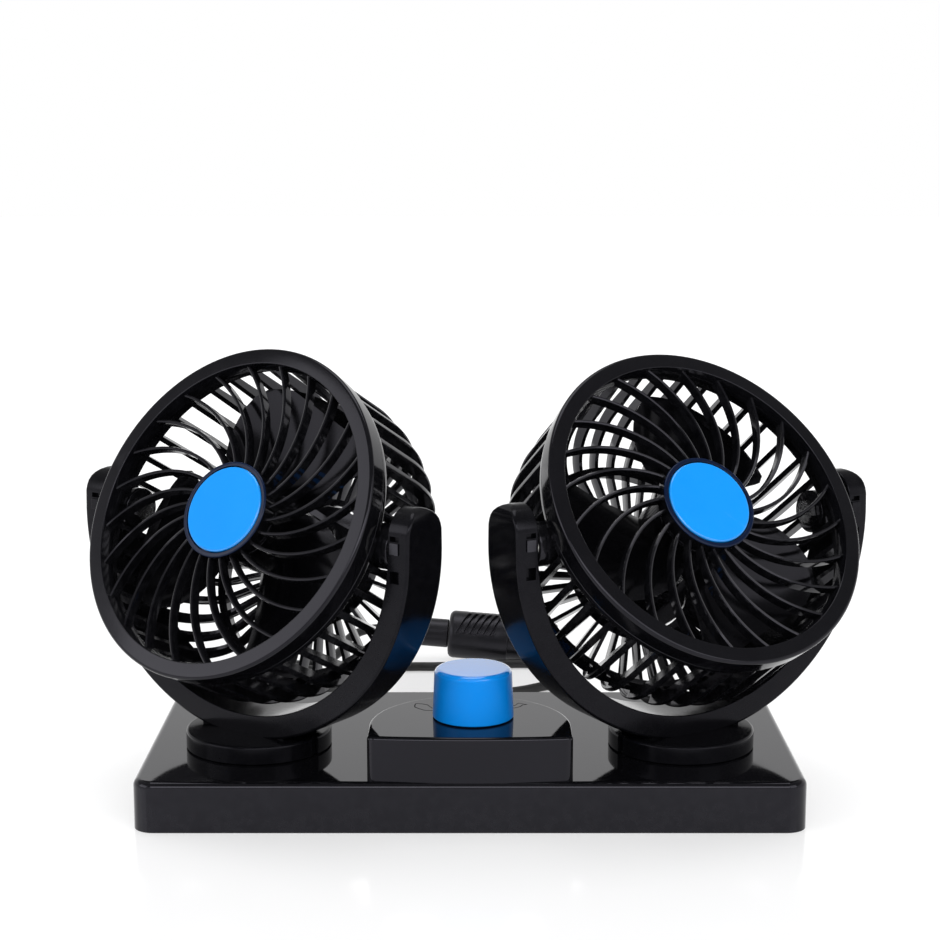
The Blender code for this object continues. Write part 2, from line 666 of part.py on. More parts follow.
def build_yoke(side, axis, material):
    bm = bmesh.new()
    loft(bm, [yoke_section(*station) for station in yoke_stations()])
    yoke = finish_mesh(bm, f"{side}_yoke", material, axis)

    low = FIT_GAP
    high = FIT_GAP + DISC_HEIGHT
    groove_high = COVER_CEILING - BASE_TOP - 2 * FIT_GAP - WASHER_THICKNESS + FIT_GAP
    groove_low = groove_high - CLIP_THICKNESS - 2 * FIT_GAP
    groove = SPIGOT_RADIUS - CLIP_GROOVE_DEPTH
    end = -SPIGOT_LENGTH
    profile = filleted([(high, 0), (high, DISC_RADIUS), (low, DISC_RADIUS), (low, SPIGOT_RADIUS),
                        (groove_high, SPIGOT_RADIUS), (groove_high, groove), (groove_low, groove),
                        (groove_low, SPIGOT_RADIUS), (end, SPIGOT_RADIUS), (end, SPIGOT_BORE),
                        (low, SPIGOT_BORE), (low, 0)], {1: DISC_EDGE_FILLET})
    bm = bmesh.new()
    turned(bm, profile, even_angles(24), about_z)
    apply_boolean(yoke, cutter(bm, f"{side}_disc_form", axis), "UNION")

    bm = bmesh.new()
    foot_low = high - SINK
    foot_high = high + YOKE_FOOT_RISE
    loft(bm, box_rings((-YOKE_FOOT_HALF_LENGTH, -YOKE_FOOT_HALF_WIDTH, foot_low),
                       (YOKE_FOOT_HALF_LENGTH, YOKE_FOOT_HALF_WIDTH, foot_high)))
    apply_boolean(yoke, cutter(bm, f"{side}_foot_form", axis), "UNION")

    bm = bmesh.new()
    pivot = PIVOT_HEIGHT - BASE_TOP
    slot_z = YOKE_ARM_TOP - BASE_TOP - ARM_SLOT_DROP
    for sign in SIDES.values():
        add_cylinder(bm, (0, 0, pivot), PIVOT_PIN_RADIUS + FIT_GAP,
                     sign * (YOKE_INNER_RADIUS - CUT_OVERRUN), sign * (PIVOT_PIN_END + FIT_GAP),
                     8, about_x)
        slot_x = sign * (YOKE_INNER_RADIUS + ARM_SLOT_SIZE / 2 + YOKE_EDGE)
        loft(bm, box_rings((slot_x - ARM_SLOT_SIZE / 2, -YOKE_HALF_WIDTH - CUT_OVERRUN,
                            slot_z - ARM_SLOT_SIZE / 2),
                           (slot_x + ARM_SLOT_SIZE / 2, -YOKE_HALF_WIDTH + ARM_SLOT_DEPTH,
                            slot_z + ARM_SLOT_SIZE / 2)))
        loft(bm, box_rings((sign * DISC_RADIUS - DISC_NOTCH_DEPTH, -DISC_NOTCH_WIDTH / 2,
                            low - CUT_OVERRUN),
                           (sign * DISC_RADIUS + DISC_NOTCH_DEPTH, DISC_NOTCH_WIDTH / 2,
                            high + SINK)))
    apply_boolean(yoke, cutter(bm, f"{side}_yoke_cuts", axis), "DIFFERENCE")


def build_swivel_retainers(side, axis, washer_material, metal):
    washer_high = COVER_CEILING - BASE_TOP - FIT_GAP
    washer_low = washer_high - WASHER_THICKNESS
    bore = SPIGOT_RADIUS + FIT_GAP
    profile = [(washer_low, bore), (washer_low, WASHER_RADIUS), (washer_high, WASHER_RADIUS),
               (washer_high, bore)]
    turned_part(f"{side}_swivel_washer", profile, 16, about_z, washer_material, axis)

    clip_high = washer_low - FIT_GAP
    clip_low = clip_high - CLIP_THICKNESS
    clip_bore = SPIGOT_RADIUS - CLIP_GROOVE_DEPTH + FIT_GAP
    steps = 12
    bm = bmesh.new()
    rings = []
    for step in range(steps + 1):
        angle = CLIP_OPENING / 2 + (2 * math.pi - CLIP_OPENING) * step / steps
        rings.append([about_z(clip_low, clip_bore, angle), about_z(clip_low, CLIP_RADIUS, angle),
                      about_z(clip_high, CLIP_RADIUS, angle), about_z(clip_high, clip_bore, angle)])
    loft(bm, rings)
    finish_mesh(bm, f"{side}_swivel_clip", metal, axis)


# Ribbed wheels

def pitch_angles(ribs, half_angle, mids, phase):
    """Angles of a circle with two columns at each rib's sides and mids more in each gap."""
    pitch = 2 * math.pi / ribs
    angles = []
    for rib in range(ribs):
        centre = phase + pitch * rib
        angles.extend((centre - half_angle, centre + half_angle))
        gap = pitch - 2 * half_angle
        for mid in range(1, mids + 1):
            angles.append(centre + half_angle + gap * mid / (mids + 1))
    return angles


def rib_quad(columns, start, row):
    return [columns[start][row], columns[start + 1][row],
            columns[start + 1][row + 1], columns[start][row + 1]]


def bridge_rings(bm, rows, open_left=(), open_right=()):
    """Skin a rib through rows of four corners; a listed interval keeps that side open."""
    for index, (first, second) in enumerate(zip(rows, rows[1:])):
        for side in range(4):
            if side == 1 and index in open_right:
                continue
            if side == 3 and index in open_left:
                continue
            k = (side + 1) % 4
            bm.faces.new((first[side], first[k], second[k], second[side]))


def front_rib_angle(radius):
    return FRONT_RIB_SWEEP * (radius - HUB_RADIUS) / (RING_INNER_RADIUS - HUB_RADIUS)


def front_rib_half_angle(radius):
    slope = radius * FRONT_RIB_SWEEP / (RING_INNER_RADIUS - HUB_RADIUS)
    return FRONT_RIB_WIDTH / 2 * math.sqrt(1 + slope * slope) / radius


def build_front_grille(side, axis, material):
    """Ring, hub and spiral ribs in one moulding: each rib grows out of a wall face of the ring."""
    phase = FRONT_RIB_PHASE[side]
    ring = [(FRONT_RIB_FRONT, RING_INNER_RADIUS), (FRONT_RIB_REAR, RING_INNER_RADIUS),
            (FRONT_RIB_REAR, RING_REAR_RADIUS - RING_WALL),
            (RING_DEPTH, RING_REAR_RADIUS - RING_WALL),
            (RING_DEPTH, RING_REAR_RADIUS), (RING_CHAMFER, RING_OUTER_RADIUS),
            (0, RING_OUTER_RADIUS - RING_CHAMFER), (0, RING_INNER_RADIUS + RING_CHAMFER / 2)]
    hub_lip = HUB_RADIUS - HUB_WALL
    hub = [(FRONT_RIB_FRONT, HUB_RADIUS), (FRONT_RIB_REAR, HUB_RADIUS)]
    hub_front = [(HUB_FLOOR, hub_lip), (-HUB_PROUD, hub_lip),
                 (-HUB_PROUD, HUB_RADIUS - HUB_PROUD)]
    bm = bmesh.new()
    outer_angles = pitch_angles(FRONT_RIBS, front_rib_half_angle(RING_INNER_RADIUS), 1,
                                phase + FRONT_RIB_SWEEP)
    outer = add_grid(bm, ring, outer_angles, on_head, skip=lambda i, j: i == 0 and j % 3 == 0)
    inner_angles = pitch_angles(FRONT_RIBS, front_rib_half_angle(HUB_RADIUS), 0, phase)
    inner = add_grid(bm, hub_front + hub, inner_angles, on_head,
                     skip=lambda i, j: i == len(hub_front) and j % 2 == 0, closed=False)
    add_pole(bm, inner, 0, on_head(HUB_FLOOR, 0, 0))
    add_pole(bm, inner, len(hub_front + hub) - 1, on_head(FRONT_RIB_REAR, 0, 0))
    for rib in range(FRONT_RIBS):
        centre = phase + 2 * math.pi * rib / FRONT_RIBS
        rows = [rib_quad(outer, 3 * rib, 0)]
        for step in range(1, FRONT_RIB_STEPS):
            share = step / FRONT_RIB_STEPS
            radius = RING_INNER_RADIUS + (HUB_RADIUS - RING_INNER_RADIUS) * share
            angle = centre + front_rib_angle(radius)
            half = front_rib_half_angle(radius)
            rows.append([bm.verts.new(on_head(back, radius, angle + turn)) for back, turn in
                         ((FRONT_RIB_FRONT, -half), (FRONT_RIB_FRONT, half),
                          (FRONT_RIB_REAR, half), (FRONT_RIB_REAR, -half))])
        rows.append(rib_quad(inner, 2 * rib, len(hub_front)))
        bridge_rings(bm, rows)
    finish_mesh(bm, f"{side}_front_grille", material, axis)


def cage_sections():
    """Outer and inner points (back, radius) of a cage rib, from the rim to the centre ring."""
    start = RING_DEPTH + FIT_GAP + CAGE_RIM_DEPTH
    sections = [((start, CAGE_RADIUS), (start, CAGE_RADIUS - CAGE_RIM_WALL))]
    run = CAGE_BACK - CAGE_SHOULDER_START
    drop = CAGE_RADIUS - CAGE_FLAT_RADIUS
    for degrees in CAGE_SHOULDER_ANGLES:
        angle = math.radians(degrees)
        along, across = math.sin(angle), math.cos(angle)
        outer = (CAGE_SHOULDER_START + run * along, CAGE_FLAT_RADIUS + drop * across)
        inner = (CAGE_SHOULDER_START + (run - CAGE_RIB_DEPTH) * along,
                 CAGE_FLAT_RADIUS + (drop - CAGE_RIB_DEPTH) * across)
        sections.append((outer, inner))
    sections.append(((CAGE_BACK, CAGE_CENTRE_RADIUS),
                     (CAGE_BACK - CAGE_RIB_DEPTH, CAGE_CENTRE_RADIUS)))
    return sections


def build_rear_cage(side, axis, material):
    """Rim, ribs, cross ring and centre ring in one moulding, with a pivot boss at each side."""
    sections = cage_sections()
    rim_front = RING_DEPTH + FIT_GAP
    rear = sections[0][0][0]
    lip_outer = RING_REAR_RADIUS - RING_WALL - FIT_GAP
    lip_inner = lip_outer - CAGE_LIP_WALL
    wall_inner = sections[0][1][1]
    rim = [(rear, CAGE_RADIUS), (rear, wall_inner), (rim_front - CAGE_LIP_DEPTH, lip_inner),
           (rim_front - CAGE_LIP_DEPTH, lip_outer), (rim_front, lip_outer),
           (rim_front, CAGE_RIM_RADIUS)]
    centre_front, centre_rear = CAGE_BACK - CAGE_RIB_DEPTH, CAGE_BACK
    centre_bore = CAGE_CENTRE_RADIUS - CAGE_CENTRE_WALL
    centre_ring = [(centre_rear, CAGE_CENTRE_RADIUS), (centre_front, CAGE_CENTRE_RADIUS),
                   (centre_front, centre_bore), (centre_rear, centre_bore)]
    bm = bmesh.new()
    angles = pitch_angles(CAGE_RIBS, CAGE_RIB_WIDTH / 2 / CAGE_RADIUS, 0, 0)
    outer = add_grid(bm, rim, angles, on_head, skip=lambda i, j: i == 0 and j % 2 == 0)
    angles = pitch_angles(CAGE_RIBS, CAGE_RIB_END_WIDTH / 2 / CAGE_CENTRE_RADIUS, 0, 0)
    inner = add_grid(bm, centre_ring, angles, on_head, skip=lambda i, j: i == 0 and j % 2 == 0)
    ribs = []
    last = len(sections) - 1
    for rib in range(CAGE_RIBS):
        centre = 2 * math.pi * rib / CAGE_RIBS
        rows = [rib_quad(outer, 2 * rib, 0)]
        for index in range(1, last):
            width = CAGE_RIB_WIDTH + (CAGE_RIB_END_WIDTH - CAGE_RIB_WIDTH) * index / last
            points = []
            for (back, radius), sign in zip((sections[index][0], sections[index][0],
                                             sections[index][1], sections[index][1]),
                                            (-1, 1, 1, -1)):
                points.append(bm.verts.new(on_head(back, radius, centre + sign * width / 2 / radius)))
            rows.append(points)
        rows.append(rib_quad(inner, 2 * rib, 0))
        ribs.append(rows)
    ring_start = CAGE_RING_SECTION - 1
    for rib, rows in enumerate(ribs):
        bridge_rings(bm, rows, open_left=(ring_start,), open_right=(ring_start,))
        following = ribs[(rib + 1) % CAGE_RIBS]
        right = [rows[ring_start][1], rows[ring_start][2], rows[ring_start + 1][2],
                 rows[ring_start + 1][1]]
        left = [following[ring_start][0], following[ring_start][3], following[ring_start + 1][3],
                following[ring_start + 1][0]]
        for i in range(4):
            k = (i + 1) % 4
            bm.faces.new((right[i], right[k], left[k], left[i]))
    cage = finish_mesh(bm, f"{side}_rear_cage", material, axis)

    bm = bmesh.new()
    for sign in SIDES.values():
        add_cylinder(bm, (0, 0, 0), PIVOT_BOSS_RADIUS, sign * PIVOT_BOSS_START,
                     sign * PIVOT_BOSS_END, 12, about_x)
    apply_boolean(cage, cutter(bm, f"{side}_boss_form", axis), "UNION")
    bm = bmesh.new()
    for sign in SIDES.values():
        add_cylinder(bm, (0, 0, 0), PIVOT_PIN_RADIUS + FIT_GAP,
                     sign * (PIVOT_BOSS_START - CUT_OVERRUN), sign * (PIVOT_BOSS_END + CUT_OVERRUN),
                     8, about_x)
    apply_boolean(cage, cutter(bm, f"{side}_pivot_holes", axis), "DIFFERENCE")


def build_hub_cap(side, axis, material):
    radius = HUB_RADIUS - HUB_WALL - FIT_GAP
    front = -HUB_PROUD - HUB_CAP_PROUD
    rear = HUB_FLOOR - FIT_GAP
    profile = [(front, 0), (front, radius - HUB_CAP_EDGE), (front + HUB_CAP_EDGE, radius),
               (rear, radius), (rear, 0)]
    turned_part(f"{side}_hub_cap", profile, 24, on_head, material, axis)


def build_pivots(side, axis, metal, washer_material):
    for end, sign in SIDES.items():
        head_in = PIVOT_BOSS_START - FIT_GAP - PIVOT_PIN_HEAD_HEIGHT
        head_out = PIVOT_BOSS_START - FIT_GAP
        profile = [(sign * head_in, 0), (sign * head_in, PIVOT_PIN_HEAD_RADIUS),
                   (sign * head_out, PIVOT_PIN_HEAD_RADIUS), (sign * head_out, PIVOT_PIN_RADIUS),
                   (sign * PIVOT_PIN_END, PIVOT_PIN_RADIUS), (sign * PIVOT_PIN_END, 0)]
        turned_part(f"{side}_pivot_pin_{end}", profile, 8, about_x, metal, axis)
        near = PIVOT_BOSS_END + FIT_GAP
        far = near + PIVOT_WASHER_THICKNESS
        bore = PIVOT_PIN_RADIUS + FIT_GAP
        profile = [(sign * near, bore), (sign * near, PIVOT_WASHER_RADIUS),
                   (sign * far, PIVOT_WASHER_RADIUS), (sign * far, bore)]
        turned_part(f"{side}_pivot_washer_{end}", profile, 10, about_x, washer_material, axis)


def build_motor(side, axis, metal, mount_material):
    mount_floor = CAGE_BACK - MOUNT_WALL
    rear = mount_floor - FIT_GAP
    bore = SHAFT_RADIUS + FIT_GAP
    nose = MOTOR_FRONT - MOTOR_NOSE_LENGTH
    profile = [(nose + MOTOR_BORE_DEPTH, 0), (nose + MOTOR_BORE_DEPTH, bore), (nose, bore),
               (nose, MOTOR_NOSE_RADIUS), (MOTOR_FRONT, MOTOR_NOSE_RADIUS),
               (MOTOR_FRONT, MOTOR_RADIUS), (rear, MOTOR_RADIUS), (rear, 0)]
    turned_part(f"{side}_motor", profile, 14, on_head, metal, axis)

    inner = MOTOR_RADIUS + FIT_GAP
    flange = CAGE_CENTRE_RADIUS - CAGE_CENTRE_WALL - FIT_GAP
    flange_front = CAGE_BACK - MOUNT_FLANGE_DEPTH
    profile = [(mount_floor, 0), (mount_floor, inner), (MOUNT_FRONT, inner),
               (MOUNT_FRONT, inner + MOUNT_WALL), (flange_front, inner + MOUNT_WALL),
               (flange_front, flange), (CAGE_BACK - MOUNT_FLANGE_EDGE, flange),
               (CAGE_BACK, flange - MOUNT_FLANGE_EDGE), (CAGE_BACK, 0)]
    turned_part(f"{side}_motor_mount", profile, 18, on_head, mount_material, axis)


def blade_section(radius, centre):
    """One blade's closed section at a radius: a curved plate from its rear edge to its front edge."""
    share = (radius - ROTOR_HUB_RADIUS) / (ROTOR_TIP_RADIUS - ROTOR_HUB_RADIUS)
    span = BLADE_ROOT_SPAN + (BLADE_TIP_SPAN - BLADE_ROOT_SPAN) * share
    relief = BLADE_TIP_RELIEF * max(0.0, share)
    front, rear = [], []
    for step in range(BLADE_CHORD_STEPS + 1):
        along = step / BLADE_CHORD_STEPS
        angle = centre + BLADE_LEAN * share * share + span * (along - 1 / 2)
        depth = BLADE_REAR - relief - (BLADE_REAR - BLADE_FRONT - 2 * relief) * along
        front.append(on_head(depth, radius, angle))
        rear.append(on_head(depth + BLADE_THICKNESS, radius, angle))
    return front + rear[::-1]


def build_rotor(side, axis, material, metal):
    bore = SHAFT_RADIUS + FIT_GAP
    wall = ROTOR_HUB_WALL
    hub = ROTOR_HUB_RADIUS
    boss_rear = ROTOR_REAR - wall
    profile = [(ROTOR_FRONT + wall, 0), (ROTOR_FRONT + wall, bore), (boss_rear, bore),
               (boss_rear, ROTOR_BOSS_RADIUS), (ROTOR_FRONT + 2 * wall, ROTOR_BOSS_RADIUS),
               (ROTOR_FRONT + 2 * wall, hub - ROTOR_HUB_CHAMFER),
               (ROTOR_FRONT + ROTOR_HUB_CHAMFER + wall, hub - wall), (ROTOR_REAR, hub - wall),
               (ROTOR_REAR, hub), (ROTOR_FRONT + ROTOR_HUB_CHAMFER, hub),
               (ROTOR_FRONT, hub - ROTOR_HUB_CHAMFER), (ROTOR_FRONT, 0)]
    rotor = turned_part(f"{side}_rotor", profile, ROTOR_SEGMENTS, on_head, material, axis)
    bm = bmesh.new()
    root = hub - BLADE_ROOT_DEPTH
    for blade in range(ROTOR_BLADES):
        centre = 2 * math.pi * blade / ROTOR_BLADES
        radii = [root + (ROTOR_TIP_RADIUS - root) * step / BLADE_RADIAL_STEPS
                 for step in range(BLADE_RADIAL_STEPS + 1)]
        loft(bm, [blade_section(radius, centre) for radius in radii])
    form = cutter(bm, f"{side}_blades_form", axis)
    apply_boolean(rotor, form, "UNION")
    rotor.rotation_euler = (0, -SPIN_ANGLES[side], 0)
    form.rotation_euler = rotor.rotation_euler

    front = ROTOR_FRONT + wall + FIT_GAP
    rear = MOTOR_FRONT - MOTOR_NOSE_LENGTH + MOTOR_BORE_DEPTH - FIT_GAP
    profile = [(front, 0), (front, SHAFT_RADIUS), (rear, SHAFT_RADIUS), (rear, 0)]
    turned_part(f"{side}_motor_shaft", profile, 8, on_head, metal, axis)


def build_head(side, materials):
    sign = SIDES[side]
    swivel = add_empty(f"{side}_swivel_axis", None, (sign * SWIVEL_X, SWIVEL_Y, BASE_TOP),
                       (0, 0, SWIVEL_ANGLES[side]))
    build_yoke(side, swivel, materials["shell"])
    build_swivel_retainers(side, swivel, materials["nylon"], materials["steel"])
    tilt = add_empty(f"{side}_tilt_axis", swivel, (0, 0, PIVOT_HEIGHT - BASE_TOP),
                     (-TILT_ANGLES[side], 0, 0))
    build_front_grille(side, tilt, materials["shell"])
    build_hub_cap(side, tilt, materials["blue"])
    build_rear_cage(side, tilt, materials["shell"])
    build_pivots(side, tilt, materials["steel"], materials["nylon"])
    build_motor(side, tilt, materials["steel"], materials["shell"])
    build_rotor(side, tilt, materials["blade"], materials["steel"])


# Cord and plug

def bush_end():
    return Vector((0, BASE_REAR + FIT_GAP + BUSH_FLANGE_THICKNESS + BUSH_TAIL_LENGTH, BUSH_HEIGHT))


def build_bush(material):
    inner_face = BASE_REAR - COVER_WALL - FIT_GAP
    outer_face = BASE_REAR + FIT_GAP
    flange = BUSH_FLANGE_THICKNESS
    profile = [(inner_face - flange, 0), (inner_face - flange, BUSH_FLANGE_RADIUS),
               (inner_face, BUSH_FLANGE_RADIUS), (inner_face, BUSH_NECK_RADIUS),
               (outer_face, BUSH_NECK_RADIUS), (outer_face, BUSH_FLANGE_RADIUS),
               (outer_face + flange, BUSH_FLANGE_RADIUS), (outer_face + flange, BUSH_NECK_RADIUS),
               (outer_face + flange + BUSH_TAIL_LENGTH, BUSH_TAIL_RADIUS),
               (outer_face + flange + BUSH_TAIL_LENGTH, 0)]
    turned_part("cord_bush", profile, 14, about_y, material, location=(0, 0, BUSH_HEIGHT))


def coil_points():
    """Centre line of the coil: in along the floor, up half a turn at the middle, and out again."""
    total = COIL_TURNS_IN + COIL_CLIMB_TURNS + COIL_TURNS_OUT
    steps = round(total * COIL_POINTS_PER_TURN)
    low = CORD_RADIUS + FLOOR_CLEARANCE
    points = [Vector((COIL_CENTRE[0] + COIL_OUTER_RADIUS, COIL_CENTRE[1] + CORD_STRAIGHT, low))]
    reversal = COIL_TURNS_IN + COIL_CLIMB_TURNS / 2
    for step in range(steps + 1):
        turn = total * step / steps
        inward = min(turn, reversal)
        outward = max(0.0, turn - reversal)
        climb = min(max(0.0, turn - COIL_TURNS_IN) / COIL_CLIMB_TURNS, 1.0)
        radius = COIL_OUTER_RADIUS + COIL_PITCH * (outward - inward)
        height = low + COIL_LAYER_STEP * (1 - math.cos(math.pi * climb)) / 2
        angle = -2 * math.pi * turn
        points.append(Vector((COIL_CENTRE[0] + radius * math.cos(angle),
                              COIL_CENTRE[1] + radius * math.sin(angle), height)))
    points.append(points[-1] + Vector((CORD_STRAIGHT, 0, 0)))
    return points


def report_coil_gap(points):
    """Print the least gap between the coil's turns, measured between its centre-line segments."""
    least = None
    reach = COIL_POINTS_PER_TURN // 2
    for i, point in enumerate(points):
        for j in range(i + reach, len(points) - 1):
            start, end = points[j], points[j + 1]
            span = end - start
            share = max(0.0, min(1.0, (point - start).dot(span) / span.length_squared))
            gap = (point - start - span * share).length - 2 * CORD_RADIUS
            least = gap if least is None else min(least, gap)
    print("least gap between the coil's turns, mm:", round(least * 1000, 2))


def smooth_route(points):
    """Straight ends, and between them points on a smooth curve through the route's own points."""
    route = [Vector(p) for p in points]
    dense = []
    for a, b, c, d in zip(route, route[1:], route[2:], route[3:]):
        for step in range(24):
            t = step / 24
            dense.append(0.5 * (2 * b + (c - a) * t + (2 * a - 5 * b + 4 * c - d) * t ** 2
                                + (3 * b - a - 3 * c + d) * t ** 3))
    dense.append(route[-2])
    lengths = [0.0]
    for first, second in zip(dense, dense[1:]):
        lengths.append(lengths[-1] + (second - first).length)
    count = max(2, round(lengths[-1] / CORD_POINT_SPACING))
    picked, index = [], 0
    for step in range(count + 1):
        goal = lengths[-1] * step / count
        while index < len(lengths) - 2 and lengths[index + 1] < goal:
            index += 1
        share = (goal - lengths[index]) / (lengths[index + 1] - lengths[index])
        picked.append(dense[index].lerp(dense[index + 1], min(1.0, share)))
    return [route[0]] + picked + [route[-1]]


def cord_tube(name, points, material, resolution):
    curve = bpy.data.curves.new(name, "CURVE")
    curve.dimensions = "3D"
    curve.bevel_depth = CORD_RADIUS
    curve.bevel_resolution = resolution
    curve.use_fill_caps = True
    spline = curve.splines.new("POLY")
    spline.points.add(len(points) - 1)
    for target, point in zip(spline.points, points):
        target.co = (*point, 1.0)
    tube = add_object(name, curve, material)
    tube_length = sum((b - a).length for a, b in zip(points, points[1:]))
    print(name, "length, mm:", round(tube_length * 1000, 1))
    return tube


def plug_frame():
    """Matrix from plug coordinates (X from the neck's end to the nose) to the world."""
    axis_turn = Matrix.Rotation(-PLUG_YAW, 4, "Z") @ Matrix.Rotation(PLUG_PITCH, 4, "Y")
    reach = GRIP_LENGTH + BARREL_LENGTH
    height = (BARREL_RADIUS * math.cos(PLUG_PITCH) + reach * math.sin(PLUG_PITCH)
              + FLOOR_CLEARANCE)
    shoulder = Vector((*PLUG_SHOULDER, height))
    return Matrix.Translation(shoulder) @ axis_turn @ Matrix.Translation((-NECK_LENGTH, 0, 0))


def build_cord(material):
    coil = coil_points()
    report_coil_gap(coil)
    cord_tube("cord_coil", coil, material, 1)

    low = CORD_RADIUS + FLOOR_CLEARANCE
    start = bush_end() + Vector((0, FIT_GAP, 0))
    end = coil[0] + Vector((0, FIT_GAP, 0))
    lead = [start, start + Vector((0, CORD_STRAIGHT, 0)), (0.0045, 0.0830, 0.0056),
            (0.0165, 0.0970, low), (0.0305, 0.1065, low), (0.0390, 0.1145, low),
            (0.0396, 0.1255, low), (0.0320, 0.1345, low), (0.0195, 0.1370, low),
            (0.0030, 0.1347, low), (-0.0140, 0.1325, low), (-0.0300, 0.1320, low),
            (-0.0425, 0.1255, low), (-0.0478, 0.1130, low),
            end + Vector((0, CORD_STRAIGHT, 0)), end]
    cord_tube("cord_lead", smooth_route(lead), material, 2)

    frame = plug_frame()
    neck_end = frame @ Vector((-FIT_GAP, 0, 0))
    neck_back = frame @ Vector((-FIT_GAP - CORD_STRAIGHT, 0, 0))
    start = coil[-1] + Vector((FIT_GAP, 0, 0))
    tail = [start, start + Vector((CORD_STRAIGHT, 0, 0)), (-0.0582, 0.1225, 0.0068),
            (-0.0527, 0.1278, 0.0080), (-0.0504, 0.1352, 0.0096), (-0.0482, 0.1426, 0.0113),
            (-0.0427, 0.1479, 0.0127), neck_back, neck_end]
    cord_tube("cord_tail", smooth_route(tail), material, 2)


def build_plug(grip_material, rubber, metal, glass):
    frame = add_empty("plug_axis")
    frame.matrix_world = plug_frame()
    grip_end = NECK_LENGTH + GRIP_LENGTH
    barrel_end = grip_end + BARREL_LENGTH
    profile = filleted([(0, 0), (0, NECK_END_RADIUS), (NECK_RADIUS, NECK_RADIUS),
                        (NECK_LENGTH - FIT_GAP, NECK_RADIUS), (NECK_LENGTH - FIT_GAP, 0)],
                       {2: NECK_RADIUS / 2})
    turned_part("plug_relief", profile, 16, about_x, rubber, frame)

    profile = filleted([(NECK_LENGTH, 0), (NECK_LENGTH, GRIP_RADIUS), (grip_end, GRIP_RADIUS),
                        (grip_end, BARREL_RADIUS), (barrel_end, BARREL_RADIUS),
                        (barrel_end, PLUG_BORE_RADIUS), (PLUG_BORE_START, PLUG_BORE_RADIUS),
                        (PLUG_BORE_START, 0)], {1: GRIP_EDGE})
    body = turned_part("plug_body", profile, 20, about_x, grip_material, frame)
    bm = bmesh.new()
    contact_end = barrel_end - NOSE_EDGE
    contact_start = contact_end - CONTACT_LENGTH
    contact_low = BARREL_RADIUS + CONTACT_PROUD - CONTACT_HEIGHT
    slot_low = contact_low - CONTACT_TRAVEL - FIT_GAP
    half = CONTACT_WIDTH / 2 + FIT_GAP
    for sign in SIDES.values():
        edges = sorted((sign * slot_low, sign * (BARREL_RADIUS + CUT_OVERRUN)))
        loft(bm, box_rings((contact_start - FIT_GAP, edges[0], -half),
                           (contact_end + FIT_GAP, edges[1], half)))
    apply_boolean(body, cutter(bm, "plug_slots", frame), "DIFFERENCE")

    for side, sign in SIDES.items():
        build_contact(side, sign, contact_start, contact_end, contact_low, metal, frame)

    nose_start = barrel_end + FIT_GAP
    nose_end = nose_start + NOSE_LENGTH
    profile = [(nose_start, NOSE_BORE), (nose_start, NOSE_RADIUS),
               (nose_end - NOSE_EDGE, NOSE_RADIUS), (nose_end, NOSE_RADIUS - NOSE_EDGE),
               (nose_end, NOSE_BORE)]
    turned_part("plug_nose", profile, 20, about_x, grip_material, frame)

    flange_end = barrel_end - FIT_GAP
    flange_start = flange_end - PIN_FLANGE_THICKNESS
    profile = filleted([(flange_start, 0), (flange_start, PIN_FLANGE_RADIUS),
                        (flange_end, PIN_FLANGE_RADIUS), (flange_end, PIN_RADIUS),
                        (nose_end + PIN_PROUD, PIN_RADIUS), (nose_end + PIN_PROUD, 0)],
                       {4: PIN_TIP_FILLET})
    turned_part("plug_pin", profile, 12, about_x, metal, frame)

    fuse_end = flange_start - FIT_GAP
    fuse_start = fuse_end - FUSE_LENGTH
    waist = FUSE_RADIUS - FUSE_CAP_STEP
    profile = [(fuse_start, 0), (fuse_start, FUSE_RADIUS),
               (fuse_start + FUSE_CAP_LENGTH, FUSE_RADIUS), (fuse_start + FUSE_CAP_LENGTH, waist),
               (fuse_end - FUSE_CAP_LENGTH, waist), (fuse_end - FUSE_CAP_LENGTH, FUSE_RADIUS),
               (fuse_end, FUSE_RADIUS), (fuse_end, 0)]
    turned_part("plug_fuse", profile, 10, about_x, glass, frame)

    spring_start = PLUG_BORE_START + FIT_GAP
    spring_end = fuse_start - FIT_GAP
    profile = [(spring_start, SPRING_BORE), (spring_start, SPRING_RADIUS),
               (spring_end, SPRING_RADIUS), (spring_end, SPRING_BORE)]
    turned_part("plug_spring", profile, 12, about_x, metal, frame)


def build_contact(side, sign, start, end, low, metal, frame):
    """A crowned leaf that stands proud of the barrel."""
    high = low + CONTACT_HEIGHT
    half = CONTACT_WIDTH / 2
    steps = 4
    rings = []
    for step in range(steps + 1):
        share = step / steps
        top = high - CONTACT_CROWN * (2 * share - 1) ** 2
        x = start + (end - start) * share
        rings.append([Vector((x, sign * low, -half)), Vector((x, sign * low, half)),
                      Vector((x, sign * top, half)), Vector((x, sign * top, -half))])
    bm = bmesh.new()
    loft(bm, rings)
    finish_mesh(bm, f"plug_contact_{side}", metal, frame)


